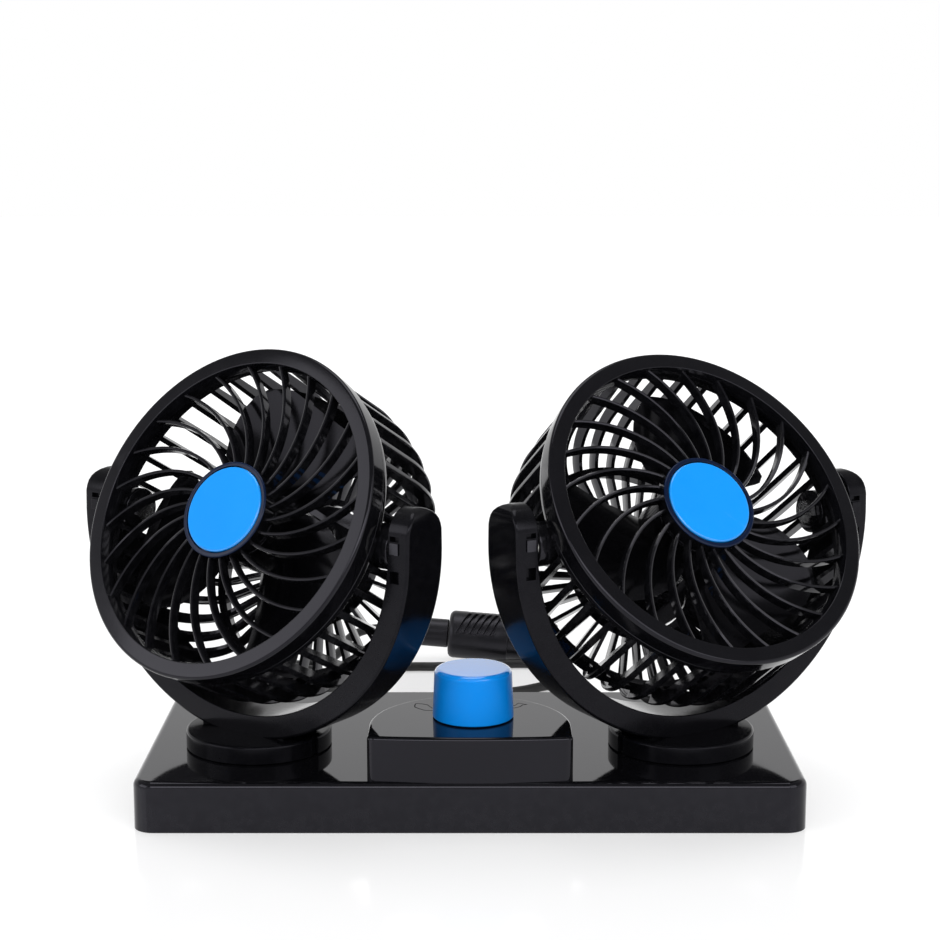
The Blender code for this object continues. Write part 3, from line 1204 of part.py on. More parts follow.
def build_all():
    for item in list(bpy.data.objects):
        bpy.data.objects.remove(item, do_unlink=True)
    materials = {
        "shell": make_material("black_gloss_plastic", (0.012, 0.012, 0.014), 0.18),
        "blade": make_material("black_blade_plastic", (0.016, 0.016, 0.018), 0.3),
        "matt": make_material("black_matt_plastic", (0.02, 0.02, 0.02), 0.6),
        "blue": make_material("blue_plastic", (0.02, 0.3, 0.9), 0.3),
        "steel": make_material("steel", (0.55, 0.55, 0.57), 0.35, 1.0),
        "nylon": make_material("white_nylon", (0.8, 0.8, 0.78), 0.5),
        "board": make_material("green_board", (0.02, 0.2, 0.06), 0.5),
        "foam": make_material("grey_foam", (0.08, 0.08, 0.08), 0.95),
        "cord": make_material("black_cord", (0.015, 0.015, 0.015), 0.5),
        "glass": make_material("fuse_glass", (0.8, 0.85, 0.85), 0.1),
    }
    build_base_cover(materials["shell"])
    build_base_plate(materials["matt"])
    build_pad(materials["foam"])
    build_plate_screws(materials["steel"])
    knob_axis = build_switch(materials["matt"], materials["board"], materials["steel"])
    build_knob(knob_axis, materials["blue"])
    for side in SIDES:
        build_head(side, materials)
    build_bush(materials["cord"])
    build_cord(materials["cord"])
    build_plug(materials["matt"], materials["cord"], materials["steel"], materials["glass"])


build_all()
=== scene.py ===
import math

import bmesh
import bpy
from mathutils import Matrix, Vector


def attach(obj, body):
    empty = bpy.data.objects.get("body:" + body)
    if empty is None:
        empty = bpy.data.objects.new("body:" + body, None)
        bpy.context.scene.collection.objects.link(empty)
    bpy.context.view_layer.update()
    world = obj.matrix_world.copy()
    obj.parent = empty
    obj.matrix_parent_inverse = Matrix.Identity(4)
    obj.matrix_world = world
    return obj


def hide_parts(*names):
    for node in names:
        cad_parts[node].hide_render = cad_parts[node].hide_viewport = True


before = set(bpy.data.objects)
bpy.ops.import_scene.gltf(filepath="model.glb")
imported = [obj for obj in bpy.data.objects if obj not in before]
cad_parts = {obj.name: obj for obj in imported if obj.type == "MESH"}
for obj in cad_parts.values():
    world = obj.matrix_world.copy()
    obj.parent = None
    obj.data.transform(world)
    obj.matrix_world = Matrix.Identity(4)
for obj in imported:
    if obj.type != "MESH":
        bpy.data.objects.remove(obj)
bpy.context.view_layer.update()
print("frame loaded,", len(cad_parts), "nodes")

# Everything is in metres, +Z up, with the front of the fan facing -Y.
# The heads are built in their own axes: "back" runs behind the front plane of the ring.

fullTurn = 2 * math.pi
origin = Matrix.Identity(4)

cameraView = dict(
    place=(0, -0.6298, 0.2145), pitchDown=9.91, lens=75.8, sensor=36, near=0.01, far=20)

headPose = dict(
    left=dict(sign=-1, swivel=math.radians(-35.1), tilt=math.radians(28.6), spin=math.radians(88),
        ribStart=math.radians(11.2)),
    right=dict(sign=1, swivel=math.radians(29.2), tilt=math.radians(37.7), spin=math.radians(72),
        ribStart=math.radians(1.2)))
stand = dict(
    swivelX=0.0685, swivelY=-0.0104, deck=0.016, pivotHeight=0.088, pivotBack=0.0163, gap=0.0003)
gap = stand["gap"]
pivotRise = stand["pivotHeight"] - stand["deck"]


def addObject(name, data):
    thing = bpy.data.objects.new(name, data)
    bpy.context.scene.collection.objects.link(thing)
    return thing


def setCamera(view):
    data = bpy.data.cameras.new("productCamera")
    data.lens, data.sensor_width = view["lens"], view["sensor"]
    data.clip_start, data.clip_end = view["near"], view["far"]
    camera = addObject("productCamera", data)
    camera.location = view["place"]
    camera.rotation_euler = (math.radians(90 - view["pitchDown"]), 0, 0)
    bpy.context.scene.camera = camera


setCamera(cameraView)
print("camera set")


def yokePlace(side):
    pose = headPose[side]
    spot = Vector((pose["sign"] * stand["swivelX"], stand["swivelY"], stand["deck"]))
    return Matrix.Translation(spot) @ Matrix.Rotation(pose["swivel"], 4, "Z")


def headPlace(side):
    lean = Matrix.Rotation(-headPose[side]["tilt"], 4, "X")
    return (yokePlace(side) @ Matrix.Translation((0, 0, pivotRise)) @ lean
            @ Matrix.Translation((0, -stand["pivotBack"], 0)))


def rotorPlace(side):
    return headPlace(side) @ Matrix.Rotation(-headPose[side]["spin"], 4, "Y")


# Mesh helpers

def aroundY(back, radius, angle):
    return Vector((radius * math.cos(angle), back, radius * math.sin(angle)))


def aroundZ(height, radius, angle):
    return Vector((radius * math.cos(angle), radius * math.sin(angle), height))


def aroundX(along, radius, angle):
    return Vector((along, radius * math.cos(angle), radius * math.sin(angle)))


def roundCorners(corners, radii, steps=5):
    # corners is a run of 2D points; radii maps a corner's number to its fillet
    points = []
    for number, corner in enumerate(corners):
        radius = radii.get(number, 0)
        if not radius:
            points.append(tuple(corner))
            continue
        here = Vector(corner)
        before = (Vector(corners[number - 1]) - here).normalized()
        after = (Vector(corners[(number + 1) % len(corners)]) - here).normalized()
        half = before.angle(after) / 2
        reach = radius / math.tan(half)
        centre = here + (before + after).normalized() * radius / math.sin(half)
        start = here + before * reach - centre
        end = here + after * reach - centre
        points += [tuple(centre + start.slerp(end, share) * radius) for share in shares(steps)]
    return points


def blend(first, last, share):
    return first + (last - first) * share


def shares(count, start=0):
    return [step / count for step in range(start, count + 1)]


def shaped(build, *arguments, **named):
    bm = bmesh.new()
    build(bm, *arguments, **named)
    return bm


def turnProfile(bm, profile, sides, around, shift=Vector()):
    # a profile that starts or ends on the axis is closed there with a fan of faces
    first = 1 if profile[0][1] == 0 else 0
    last = len(profile) - (1 if profile[-1][1] == 0 else 0)
    closed = first == 0 and last == len(profile)
    middle = profile[first:last]
    columns = [[bm.verts.new(around(along, radius, fullTurn * side / sides) + shift)
                for along, radius in middle] for side in range(sides)]
    pairs = list(zip(columns, columns[1:] + columns[:1]))
    faces = []
    for here, beside in pairs:
        for row in range(len(middle) if closed else len(middle) - 1):
            after = (row + 1) % len(middle)
            faces.append(bm.faces.new((here[row], beside[row], beside[after], here[after])))
    for onAxis, row in ((first == 1, 0), (last < len(profile), -1)):
        if onAxis:
            pole = bm.verts.new(around(profile[row][0], 0, 0) + shift)
            faces += [bm.faces.new((here[row], beside[row], pole)) for here, beside in pairs]
    return faces


def turnShape(bm, make, around, shift=Vector()):
    profile = roundCorners(make["profile"], make["rounds"], make["steps"])
    return turnProfile(bm, profile, make["sides"], around, shift)


def skinRings(bm, rings, looped=False):
    rows = [[bm.verts.new(point) for point in ring] for ring in rings]
    for low, high in zip(rows, rows[1:] + (rows[:1] if looped else [])):
        for i in range(len(low)):
            k = (i + 1) % len(low)
            bm.faces.new((low[i], low[k], high[k], high[i]))
    if not looped:
        bm.faces.new(rows[0])
        bm.faces.new(rows[-1])


def addBlock(bm, corner, opposite, rounding=0.0):
    low, high = zip(*[sorted(pair) for pair in zip(corner, opposite)])
    block = bmesh.new()
    bmesh.ops.create_cube(block, size=1.0)
    for vert in block.verts:
        for axis in range(3):
            vert.co[axis] = low[axis] if vert.co[axis] < 0 else high[axis]
    if rounding:
        bmesh.ops.bevel(block, geom=block.edges[:], offset=rounding, segments=2,
                        affect="EDGES", profile=0.6)
    made = {vert: bm.verts.new(vert.co) for vert in block.verts}
    for face in block.faces:
        bm.faces.new([made[vert] for vert in face.verts])
    block.free()


def addPost(bm, spot, radius, start, end, sides, around):
    low, high = sorted((start, end))
    turnProfile(bm, [(low, 0), (low, radius), (high, radius), (high, 0)], sides, around,
                shift=Vector(spot))


def meshFrom(bm, name, place):
    bmesh.ops.recalc_face_normals(bm, faces=bm.faces)
    bm.transform(place)
    mesh = bpy.data.meshes.new(name)
    bm.to_mesh(mesh)
    bm.free()
    return mesh


def smoothMesh(mesh, sharpAngle=32):
    mesh.shade_smooth()
    mesh.set_sharp_from_angle(angle=math.radians(sharpAngle))


def addPiece(name, bm, place, body, finish, replaced=None, sharpAngle=32):
    # finish names one finish, or several with the first on slot 0
    mesh = meshFrom(bm, name, place)
    for key in finish.split():
        mesh.materials.append(finishes[key])
    smoothMesh(mesh, sharpAngle)
    piece = addObject(name, mesh)
    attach(piece, body)
    if replaced:
        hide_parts(replaced)
    return piece


def combine(piece, bm, place, operation="DIFFERENCE"):
    # takes the shape in bm out of the piece for good, or joins it on
    guide = addObject("cutShape", meshFrom(bm, "cutShape", place))
    cut = piece.modifiers.new("cut", "BOOLEAN")
    cut.operation, cut.object, cut.solver, cut.use_self = operation, guide, "EXACT", True
    bpy.context.view_layer.update()
    graph = bpy.context.evaluated_depsgraph_get()
    result = bpy.data.meshes.new_from_object(piece.evaluated_get(graph))
    piece.modifiers.remove(cut)
    result.name = piece.data.name
    piece.data = result
    bpy.data.objects.remove(guide)
    smoothMesh(result)


def softenNormals(piece):
    weighted = piece.modifiers.new("faceWeight", "WEIGHTED_NORMAL")
    weighted.keep_sharp = True
    weighted.weight = 60


# Shader helpers

def feed(tree, node, sources):
    # each named socket takes a link or a value of its own
    for name, source in sources.items():
        socket = node.inputs[name]
        if isinstance(source, bpy.types.NodeSocket):
            tree.links.new(source, socket)
        elif socket.type == "RGBA":
            socket.default_value = (*source, 1.0)
        else:
            socket.default_value = source


def addNode(tree, kind, sources, **settings):
    node = tree.nodes.new("ShaderNode" + kind)
    for name, value in settings.items():
        setattr(node, name, value)
    feed(tree, node, sources)
    return node.outputs


def addMath(tree, operation, first, second, clamp=False):
    return addNode(tree, "Math", {0: first, 1: second}, operation=operation,
                   use_clamp=clamp)["Value"]


def addRange(tree, source, low, high, newLow=0.0, newHigh=1.0):
    return addNode(tree, "MapRange", {"Value": source, "From Min": low, "From Max": high,
                                      "To Min": newLow, "To Max": newHigh},
                   interpolation_type="SMOOTHSTEP")["Result"]


def addNoise(tree, vector, scale, detail=2.0, rough=0.5):
    return addNode(tree, "TexNoise", {"Vector": vector, "Scale": scale, "Detail": detail,
                                      "Roughness": rough})["Fac"]


def mixColour(tree, share, first, second):
    return addNode(tree, "Mix", {"Factor": share, "A": first, "B": second},
                   data_type="RGBA")["Result"]


def startGroup(name, inputs, outputs):
    # an input that gives no value is a vector, and all others are numbers
    group = bpy.data.node_groups.new(name, "ShaderNodeTree")
    for label, value in inputs.items():
        kind = "NodeSocketVector" if value is None else "NodeSocketFloat"
        socket = group.interface.new_socket(name=label, in_out="INPUT", socket_type=kind)
        if value is not None:
            socket.default_value = value
    for label in outputs:
        group.interface.new_socket(name=label, in_out="OUTPUT", socket_type="NodeSocketFloat")
    start = group.nodes.new("NodeGroupInput")
    return group, start.outputs, group.nodes.new("NodeGroupOutput")


# Shader groups shared by the finishes

def buildMouldedGrain():
    group, given, end = startGroup("mouldedGrain", {"Vector": None, "Scale": 900.0, "Flow": 60.0},
                                   ("Height", "Shade"))
    fine = addNoise(group, given["Vector"], given["Scale"], 3.0, 0.6)
    broad = addNoise(group, given["Vector"], given["Flow"], 2.0, 0.45)
    height = addMath(group, "ADD", fine, addMath(group, "MULTIPLY", broad, 1.8))
    feed(group, end, {"Height": height, "Shade": addRange(group, broad, 0.3, 0.7)})
    return group


def buildHandlingMarks():
    group, given, end = startGroup(
        "handlingMarks", {"Vector": None, "Clean": 0.2, "Marked": 0.3, "Size": 40.0},
        ("Roughness",))
    smudge = addRange(group, addNoise(group, given["Vector"], given["Size"], 4.0, 0.62),
                      0.42, 0.72)
    stretch = addNode(group, "Mapping", {"Vector": given["Vector"], "Rotation": (0.3, 0.9, 0.5),
                                         "Scale": (0.06, 1.0, 1.0)})
    scratch = addRange(group, addNoise(group, stretch["Vector"], 1500.0, 1.0, 0.4), 0.70, 0.78)
    spread = addMath(group, "SUBTRACT", given["Marked"], given["Clean"])
    share = addMath(group, "ADD", addMath(group, "MULTIPLY", smudge, 0.75),
                    addMath(group, "MULTIPLY", scratch, 0.5), clamp=True)
    rough = addMath(group, "ADD", given["Clean"], addMath(group, "MULTIPLY", spread, share))
    feed(group, end, {"Roughness": rough})
    return group


def buildEdgeWear():
    group, given, end = startGroup("edgeWear", {"Vector": None, "Reach": 0.56, "Amount": 0.5},
                                   ("Mask",))
    ridge = addNode(group, "MapRange", {"Value": addNode(group, "NewGeometry", {})["Pointiness"],
                                        "From Min": 0.505, "From Max": given["Reach"]})
    broken = addRange(group, addNoise(group, given["Vector"], 260.0, 4.0, 0.7), 0.35, 0.65)
    mask = addMath(group, "MULTIPLY", ridge["Result"],
                   addMath(group, "MULTIPLY", broken, given["Amount"]), clamp=True)
    feed(group, end, {"Mask": mask})
    return group


def buildSettledDust():
    group, given, end = startGroup("settledDust", {"Vector": None, "Normal": None, "Amount": 0.05},
                                   ("Mask",))
    parts = addNode(group, "SeparateXYZ", {"Vector": given["Normal"]})
    upward = addRange(group, parts["Z"], 0.35, 0.95)
    specks = addRange(group, addNoise(group, given["Vector"], 1700.0, 2.0, 0.7), 0.5, 0.75)
    mask = addMath(group, "MULTIPLY", addMath(group, "MULTIPLY", upward, specks),
                   given["Amount"], clamp=True)
    feed(group, end, {"Mask": mask})
    return group


effects = {"grain": buildMouldedGrain(), "marks": buildHandlingMarks(),
           "wear": buildEdgeWear(), "dust": buildSettledDust()}


def addEffect(tree, name, vector, **values):
    return addNode(tree, "Group", {"Vector": vector, **values}, node_tree=effects[name])


def startFinish(name):
    material = bpy.data.materials.new(name)
    material.use_nodes = True
    tree = material.node_tree
    return material, tree, tree.nodes["Principled BSDF"], addNode(tree, "TexCoord", {})


def addMarks(tree, vector, look):
    return addEffect(tree, "marks", vector, Clean=look["clean"], Marked=look["marked"],
                     Size=look["markSize"])["Roughness"]


def addBump(tree, height, look):
    return addNode(tree, "Bump", {"Strength": look["bump"], "Distance": look["bumpDepth"],
                                  "Height": height})["Normal"]


def moulded(name, look):
    # fine grain, soft flow of the moulding and handling marks; a look with wear in it has
    # worn edges and settled dust too
    material, tree, shader, place = startFinish(name)
    vector = place["Object"]
    grain = addEffect(tree, "grain", vector, Scale=look["grainScale"], Flow=look["flow"])
    colour = mixColour(tree, grain["Shade"], look["colour"], look["second"])
    if "wear" in look:
        wear = addEffect(tree, "wear", vector, Reach=look["wearReach"], Amount=look["wear"])
        dust = addEffect(tree, "dust", vector, Normal=place["Normal"], Amount=look["dust"])
        colour = mixColour(tree, wear["Mask"], colour, look["worn"])
        colour = mixColour(tree, dust["Mask"], colour, look["dustColour"])
    feed(tree, shader, {
        "Base Color": colour, "Roughness": addMarks(tree, vector, look),
        "Normal": addBump(tree, grain["Height"], look), "Specular IOR Level": look["shine"],
        "Specular Tint": look.get("tint", (1.0, 1.0, 1.0)),
        "Coat Weight": look.get("coat", 0.0), "Coat Roughness": 0.04})
    return material


glossBlack = dict(
    colour=(0.0024, 0.0024, 0.0032), second=(0.0036, 0.0036, 0.0046), worn=(0.020, 0.020, 0.023),
    wear=0.35, wearReach=0.58, dust=0.03, dustColour=(0.15, 0.14, 0.14), grainScale=1400.0,
    flow=38.0, bump=0.08, bumpDepth=0.00003, clean=0.05, marked=0.10, markSize=55.0, shine=0.27,
    tint=(0.88, 0.86, 1.0))
yokeBlack = dict(glossBlack, shine=0.13, clean=0.17, marked=0.24)
discBlack = dict(yokeBlack, shine=0.10, dust=0.02)
ringBlack = dict(glossBlack, shine=0.25, clean=0.08, marked=0.14)
# painted light: a lighter, glossier copy of the black, put only on the arm squares that face the
# knob
paintedLightPadBlack = dict(glossBlack, shine=0.5, clean=0.22, marked=0.30,
                colour=(0.008, 0.008, 0.010), second=(0.010, 0.010, 0.012))
satinBlack = dict(glossBlack, colour=(0.0026, 0.0026, 0.0034), second=(0.0042, 0.0042, 0.0052),
                  worn=(0.024, 0.024, 0.027), wear=0.40, grainScale=2600.0, flow=70.0,
                  bump=0.14, bumpDepth=0.00004, clean=0.10, marked=0.17, markSize=70.0,
                  shine=0.36)
cageBlack = dict(satinBlack, clean=0.07, marked=0.13, shine=0.28)
bladeBlack = dict(satinBlack, clean=0.10, marked=0.18, colour=(0.0015, 0.0015, 0.002),
                  second=(0.0025, 0.0025, 0.003), flow=45.0, bump=0.10, shine=0.15)
mattBlack = dict(satinBlack, clean=0.36, marked=0.48, colour=(0.006, 0.006, 0.007),
                 second=(0.010, 0.010, 0.011), grainScale=1500.0, bump=0.35, bumpDepth=0.00007)
markInk = dict(mattBlack, colour=(0.0015, 0.0015, 0.002), second=(0.003, 0.003, 0.004),
               dust=0.0, shine=0.0)
knobBlue = dict(
    colour=(0.002, 0.290, 0.950), second=(0.003, 0.300, 0.960), worn=(0.10, 0.42, 0.95), wear=0.25,
    wearReach=0.60, dust=0.02, dustColour=(0.55, 0.65, 0.75), grainScale=1900.0, flow=60.0,
    bump=0.12, bumpDepth=0.00004, clean=0.30, marked=0.40, markSize=80.0, shine=0.12)
knobTop = dict(knobBlue, clean=0.07, marked=0.12, shine=0.5, coat=1.0)
capBlue = dict(knobBlue, colour=(0.002, 0.295, 0.900), second=(0.003, 0.305, 0.910),
               clean=0.38, marked=0.46)
capRim = dict(capBlue, clean=0.10, marked=0.16, shine=0.7)
navyEdge = dict(knobBlue, colour=(0.001, 0.006, 0.028), second=(0.0015, 0.008, 0.034),
                worn=(0.004, 0.03, 0.10), clean=0.12, marked=0.20, shine=0.2)
nylonWhite = dict(
    colour=(0.70, 0.69, 0.66), second=(0.76, 0.75, 0.72), worn=(0.82, 0.81, 0.79), wear=0.2,
    wearReach=0.6, dust=0.05, dustColour=(0.5, 0.48, 0.45), grainScale=1500.0, flow=90.0, bump=0.2,
    bumpDepth=0.00005, clean=0.42, marked=0.55, markSize=90.0, shine=0.5)
boardGreen = dict(nylonWhite, colour=(0.010, 0.13, 0.045), second=(0.014, 0.16, 0.055),
                  worn=(0.4, 0.3, 0.1), clean=0.3, marked=0.4)
cordBlack = dict(
    colour=(0.010, 0.010, 0.011), second=(0.018, 0.018, 0.019), grainScale=2200.0, flow=140.0,
    bump=0.3, bumpDepth=0.00006, clean=0.42, marked=0.55, markSize=90.0, shine=0.4)
padFoam = dict(
    colour=(0.050, 0.050, 0.052), second=(0.085, 0.085, 0.088), grainScale=1600.0, flow=420.0,
    bump=0.9, bumpDepth=0.00025, clean=0.88, marked=0.97, markSize=60.0, shine=0.25)


def platedSteel(name, look):
    # brushed plate: stretched noise for the brushing, with duller spots
    material, tree, shader, place = startFinish(name)
    stretch = addNode(tree, "Mapping", {"Vector": place["Object"], "Scale": look["stretch"]})
    brushing = addNoise(tree, stretch["Vector"], look["brushing"], 3.0, 0.6)
    wear = addEffect(tree, "wear", place["Object"], Reach=look["wearReach"],
                     Amount=look["wear"])
    colour = mixColour(tree, addRange(tree, brushing, 0.3, 0.7), look["colour"], look["second"])
    feed(tree, shader, {"Base Color": mixColour(tree, wear["Mask"], colour, look["worn"]),
                        "Roughness": addMarks(tree, place["Object"], look), "Metallic": 1.0,
                        "Normal": addBump(tree, brushing, look)})
    return material


steelLook = dict(
    colour=(0.50, 0.50, 0.51), second=(0.62, 0.62, 0.63), worn=(0.75, 0.75, 0.75), wear=0.5,
    wearReach=0.6, brushing=900.0, stretch=(1.0, 0.08, 1.0), clean=0.22, marked=0.38,
    markSize=120.0, bump=0.25, bumpDepth=0.00003)


def fuseGlass(name, look):
    # clear tube with a faint greenish cast and a few wiping marks
    material, tree, shader, place = startFinish(name)
    tint = addRange(tree, addNoise(tree, place["Object"], look["castScale"]), 0.3, 0.7)
    feed(tree, shader, {"Base Color": mixColour(tree, tint, look["colour"], look["second"]),
                        "Roughness": addMarks(tree, place["Object"], look),
                        "Transmission Weight": look["clear"]})
    return material


glassLook = dict(
    colour=(0.80, 0.88, 0.86), second=(0.86, 0.92, 0.90), castScale=300.0, clear=0.85, clean=0.04,
    marked=0.12, markSize=200.0)

finishes = {key: moulded(name, look) for key, name, look in (
    ("gloss", "glossBlackPlastic", glossBlack), ("yoke", "yokeBlackPlastic", yokeBlack),
    ("disc", "discBlackPlastic", discBlack), ("ring", "ringBlackPlastic", ringBlack),
    ("pad", "armPadPaintedLight", paintedLightPadBlack), ("ink", "markInk", markInk),
    ("cage", "cageBlackPlastic", cageBlack), ("blade", "bladeBlackPlastic", bladeBlack),
    ("matt", "mattBlackPlastic", mattBlack), ("knob", "knobBluePlastic", knobBlue),
    ("knobTop", "knobTopPlastic", knobTop), ("cap", "capBluePlastic", capBlue),
    ("capRim", "capRimPlastic", capRim), ("navy", "navyCapEdge", navyEdge),
    ("nylon", "whiteNylon", nylonWhite), ("board", "greenBoard", boardGreen),
    ("rubber", "blackCordRubber", cordBlack), ("foam", "greyPadFoam", padFoam))}
finishes["steel"] = platedSteel("platedSteel", steelLook)
finishes["glass"] = fuseGlass("clearFuseGlass", glassLook)
print("finishes made:", len(finishes))


# Cord: one length that leaves the bush, runs round to the coil and on to the plug

cordMake = dict(
    radius=0.0018, straight=0.0045, spacing=0.0095, low=0.0019, bushEnd=(0, 0.0651, 0.0078),
    curveSteps=24, roundness=5, coilCentre=(-0.075, 0.0925), coilRadius=0.027, pitch=0.00415,
    layerStep=0.0042, turnsIn=2.5, climb=0.5, turnsOut=2.75, perTurn=24,
    leadOff=[(0.0045, 0.0830, 0.0056)], leadFlat=[(0.0165, 0.0970), (0.0305, 0.1065),
        (0.0390, 0.1145), (0.0396, 0.1255), (0.0320, 0.1345), (0.0195, 0.1370), (0.0030, 0.1347),
        (-0.0140, 0.1325), (-0.0300, 0.1320), (-0.0425, 0.1255), (-0.0478, 0.1130)],
    tail=[(-0.0582, 0.1225, 0.0068), (-0.0527, 0.1278, 0.0080), (-0.0504, 0.1352, 0.0096),
        (-0.0482, 0.1426, 0.0113), (-0.0427, 0.1479, 0.0127)])
plugMake = dict(
    shoulder=(-0.0085, 0.1485), yaw=math.radians(3), pitch=math.radians(4), clear=0.0001,
    reach=0.038, barrelRadius=0.0086, neckLength=0.022, neckRadius=0.0057, neckEnd=0.0034,
    neckSteps=8, neckSides=36, neckChamfer=0.0003)


def plugPlace():
    plug = plugMake
    turn = Matrix.Rotation(-plug["yaw"], 4, "Z") @ Matrix.Rotation(plug["pitch"], 4, "Y")
    height = (plug["barrelRadius"] * math.cos(plug["pitch"])
              + plug["reach"] * math.sin(plug["pitch"]) + plug["clear"])
    spot = Matrix.Translation((*plug["shoulder"], height))
    return spot @ turn @ Matrix.Translation((-plug["neckLength"], 0, 0))


def coilPoints():
    make = cordMake
    total = make["turnsIn"] + make["climb"] + make["turnsOut"]
    steps = round(total * make["perTurn"])
    reversal = make["turnsIn"] + make["climb"] / 2
    centre = Vector((*make["coilCentre"], 0))
    points = [centre + Vector((make["coilRadius"], make["straight"], make["low"]))]
    for step in range(steps + 1):
        turn = total * step / steps
        shift = max(0.0, turn - reversal) - min(turn, reversal)
        rise = min(max(0.0, turn - make["turnsIn"]) / make["climb"], 1.0)
        height = make["low"] + make["layerStep"] * (1 - math.cos(math.pi * rise)) / 2
        points.append(centre + aroundZ(height, make["coilRadius"] + make["pitch"] * shift,
                                       -fullTurn * turn))
    points.append(points[-1] + Vector((make["straight"], 0, 0)))
    return points


def easeRoute(points):
    # straight ends, and even steps between them on a smooth curve through the points
    route = [Vector(p) for p in points]
    dense = []
    for a, b, c, d in zip(route, route[1:], route[2:], route[3:]):
        for t in shares(cordMake["curveSteps"])[:-1]:
            dense.append(0.5 * (2 * b + (c - a) * t + (2 * a - 5 * b + 4 * c - d) * t ** 2
                                + (3 * b - a - 3 * c + d) * t ** 3))
    dense.append(route[-2])
    lengths = [0.0]
    for first, second in zip(dense, dense[1:]):
        lengths.append(lengths[-1] + (second - first).length)
    count = max(2, round(lengths[-1] / cordMake["spacing"]))
    picked, index = [], 0
    for step in range(count + 1):
        goal = lengths[-1] * step / count
        while index < len(lengths) - 2 and lengths[index + 1] < goal:
            index += 1
        share = (goal - lengths[index]) / (lengths[index + 1] - lengths[index])
        picked.append(dense[index].lerp(dense[index + 1], min(1.0, share)))
    return [route[0]] + picked + [route[-1]]


def cordCurve(name, points):
    curve = bpy.data.curves.new(name, "CURVE")
    curve.dimensions = "3D"
    curve.bevel_depth = cordMake["radius"]
    curve.bevel_resolution = curve.resolution_u = cordMake["roundness"]
    curve.use_fill_caps = True
    spline = curve.splines.new("BEZIER")
    spline.bezier_points.add(len(points) - 1)
    for target, point in zip(spline.bezier_points, points):
        target.co = point
        target.handle_left_type = target.handle_right_type = "AUTO"
    curve.materials.append(finishes["rubber"])
    cord = addObject(name, curve)
    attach(cord, "base")
    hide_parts("cord_lead", "cord_coil", "cord_tail")
    return cord


def pathLength(points):
    return sum((b - a).length for a, b in zip(points, points[1:]))


def cordRoute():
    make = cordMake
    coil = coilPoints()
    ahead = Vector((0, make["straight"], 0))
    start = Vector(make["bushEnd"]) + Vector((0, gap, 0))
    end = coil[0] + Vector((0, gap, 0))
    lead = easeRoute([start, start + ahead, *make["leadOff"],
                      *[(x, y, make["low"]) for x, y in make["leadFlat"]], end + ahead, end])
    neckEnd, neckBack = [plugPlace() @ Vector((-gap - back, 0, 0))
                         for back in (0, make["straight"])]
    start = coil[-1] + Vector((gap, 0, 0))
    tail = easeRoute([start, start + Vector((make["straight"], 0, 0)), *make["tail"], neckBack,
                      neckEnd])
    return lead[:-1] + coil + tail[1:]


coilTie = dict(
    angle=math.radians(205), corners=[(0.0135, 0.0001), (0.0301, 0.0001), (0.0301, 0.0083),
        (0.0135, 0.0083)], centre=(0.0218, 0.00415), corner=0.0026, half=0.0016, thick=0.0005)


def buildCoilTie():
    # flat soft band wrapped once round all the turns, which it presses together slightly
    make, rings = coilTie, []
    centre = Vector(make["centre"])
    for inside in roundCorners(make["corners"], {n: make["corner"] for n in range(4)}):
        reach = Vector(inside) - centre
        outer = centre + reach * (1 + make["thick"] / reach.length)
        outside = (outer.x, max(outer.y, 0.0))
        rings.append([Vector((x, sign * make["half"], z)) for (x, z), sign in (
            (inside, -1), (inside, 1), (outside, 1), (outside, -1))])
    place = (Matrix.Translation((*cordMake["coilCentre"], 0))
             @ Matrix.Rotation(make["angle"], 4, "Z"))
    addPiece("coilTie", shaped(skinRings, rings, looped=True), place, "base", "matt")


buildCoilTie()
cordPoints = cordRoute()
cordPiece = cordCurve("powerCord", cordPoints)
print("cord length in mm:", round(pathLength(cordPoints) * 1000, 1))


# Strain relief and plug

# The bush's head is given from the rear face: inner lip, neck in the wall, outer flange
bush = dict(
    rear=0.0504, rings=7, length=0.013, radius=0.0031, taper=0.0007, core=0.00212, end=0.0024,
    sides=28, collar=[(0.0001, 0), (0.0011, -0.0001)], groove=(0.0012, 0.0017),
    head=[(-0.0039, 0), (-0.0039, 0.0038), (-0.0025, 0.0038), (-0.0025, 0.0028), (0.0003, 0.0028),
        (0.0003, 0.0036), (0.0005, 0.0038), (0.0015, 0.0038), (0.0017, 0.0036)])


def buildCordBush():
    profile = [(bush["rear"] + along, radius) for along, radius in bush["head"]]
    tail = profile[-1][0]
    for ring in range(bush["rings"]):
        along = tail + bush["length"] * ring / bush["rings"]
        radius = bush["radius"] - bush["taper"] * ring / bush["rings"]
        profile += [(along + on, radius + out) for on, out in bush["collar"]]
        profile += [(along + on, bush["core"]) for on in bush["groove"]]
    profile += [(tail + bush["length"], bush["end"]), (tail + bush["length"], 0)]
    place = Matrix.Translation((0, 0, cordMake["bushEnd"][2]))
    return addPiece("cordBush", shaped(turnProfile, profile, bush["sides"], aroundY), place,
                    "base", "rubber", "cord_bush")


def buildPlugRelief():
    plug = plugMake
    rise, chamfer = plug["neckRadius"], plug["neckChamfer"]
    profile = [(0, 0), (0, plug["neckEnd"])]
    for share in shares(plug["neckSteps"], 1):
        profile.append((rise * share,
                        blend(plug["neckEnd"], rise, math.sin(math.pi / 2 * share))))
    profile += [(plug["neckLength"] - 2 * chamfer, rise),
                (plug["neckLength"] - chamfer, rise - chamfer),
                (plug["neckLength"] - chamfer, 0)]
    return addPiece("plugRelief", shaped(turnProfile, profile, plug["neckSides"], aroundX),
                    plugPlace(), "base", "matt", "plug_relief")


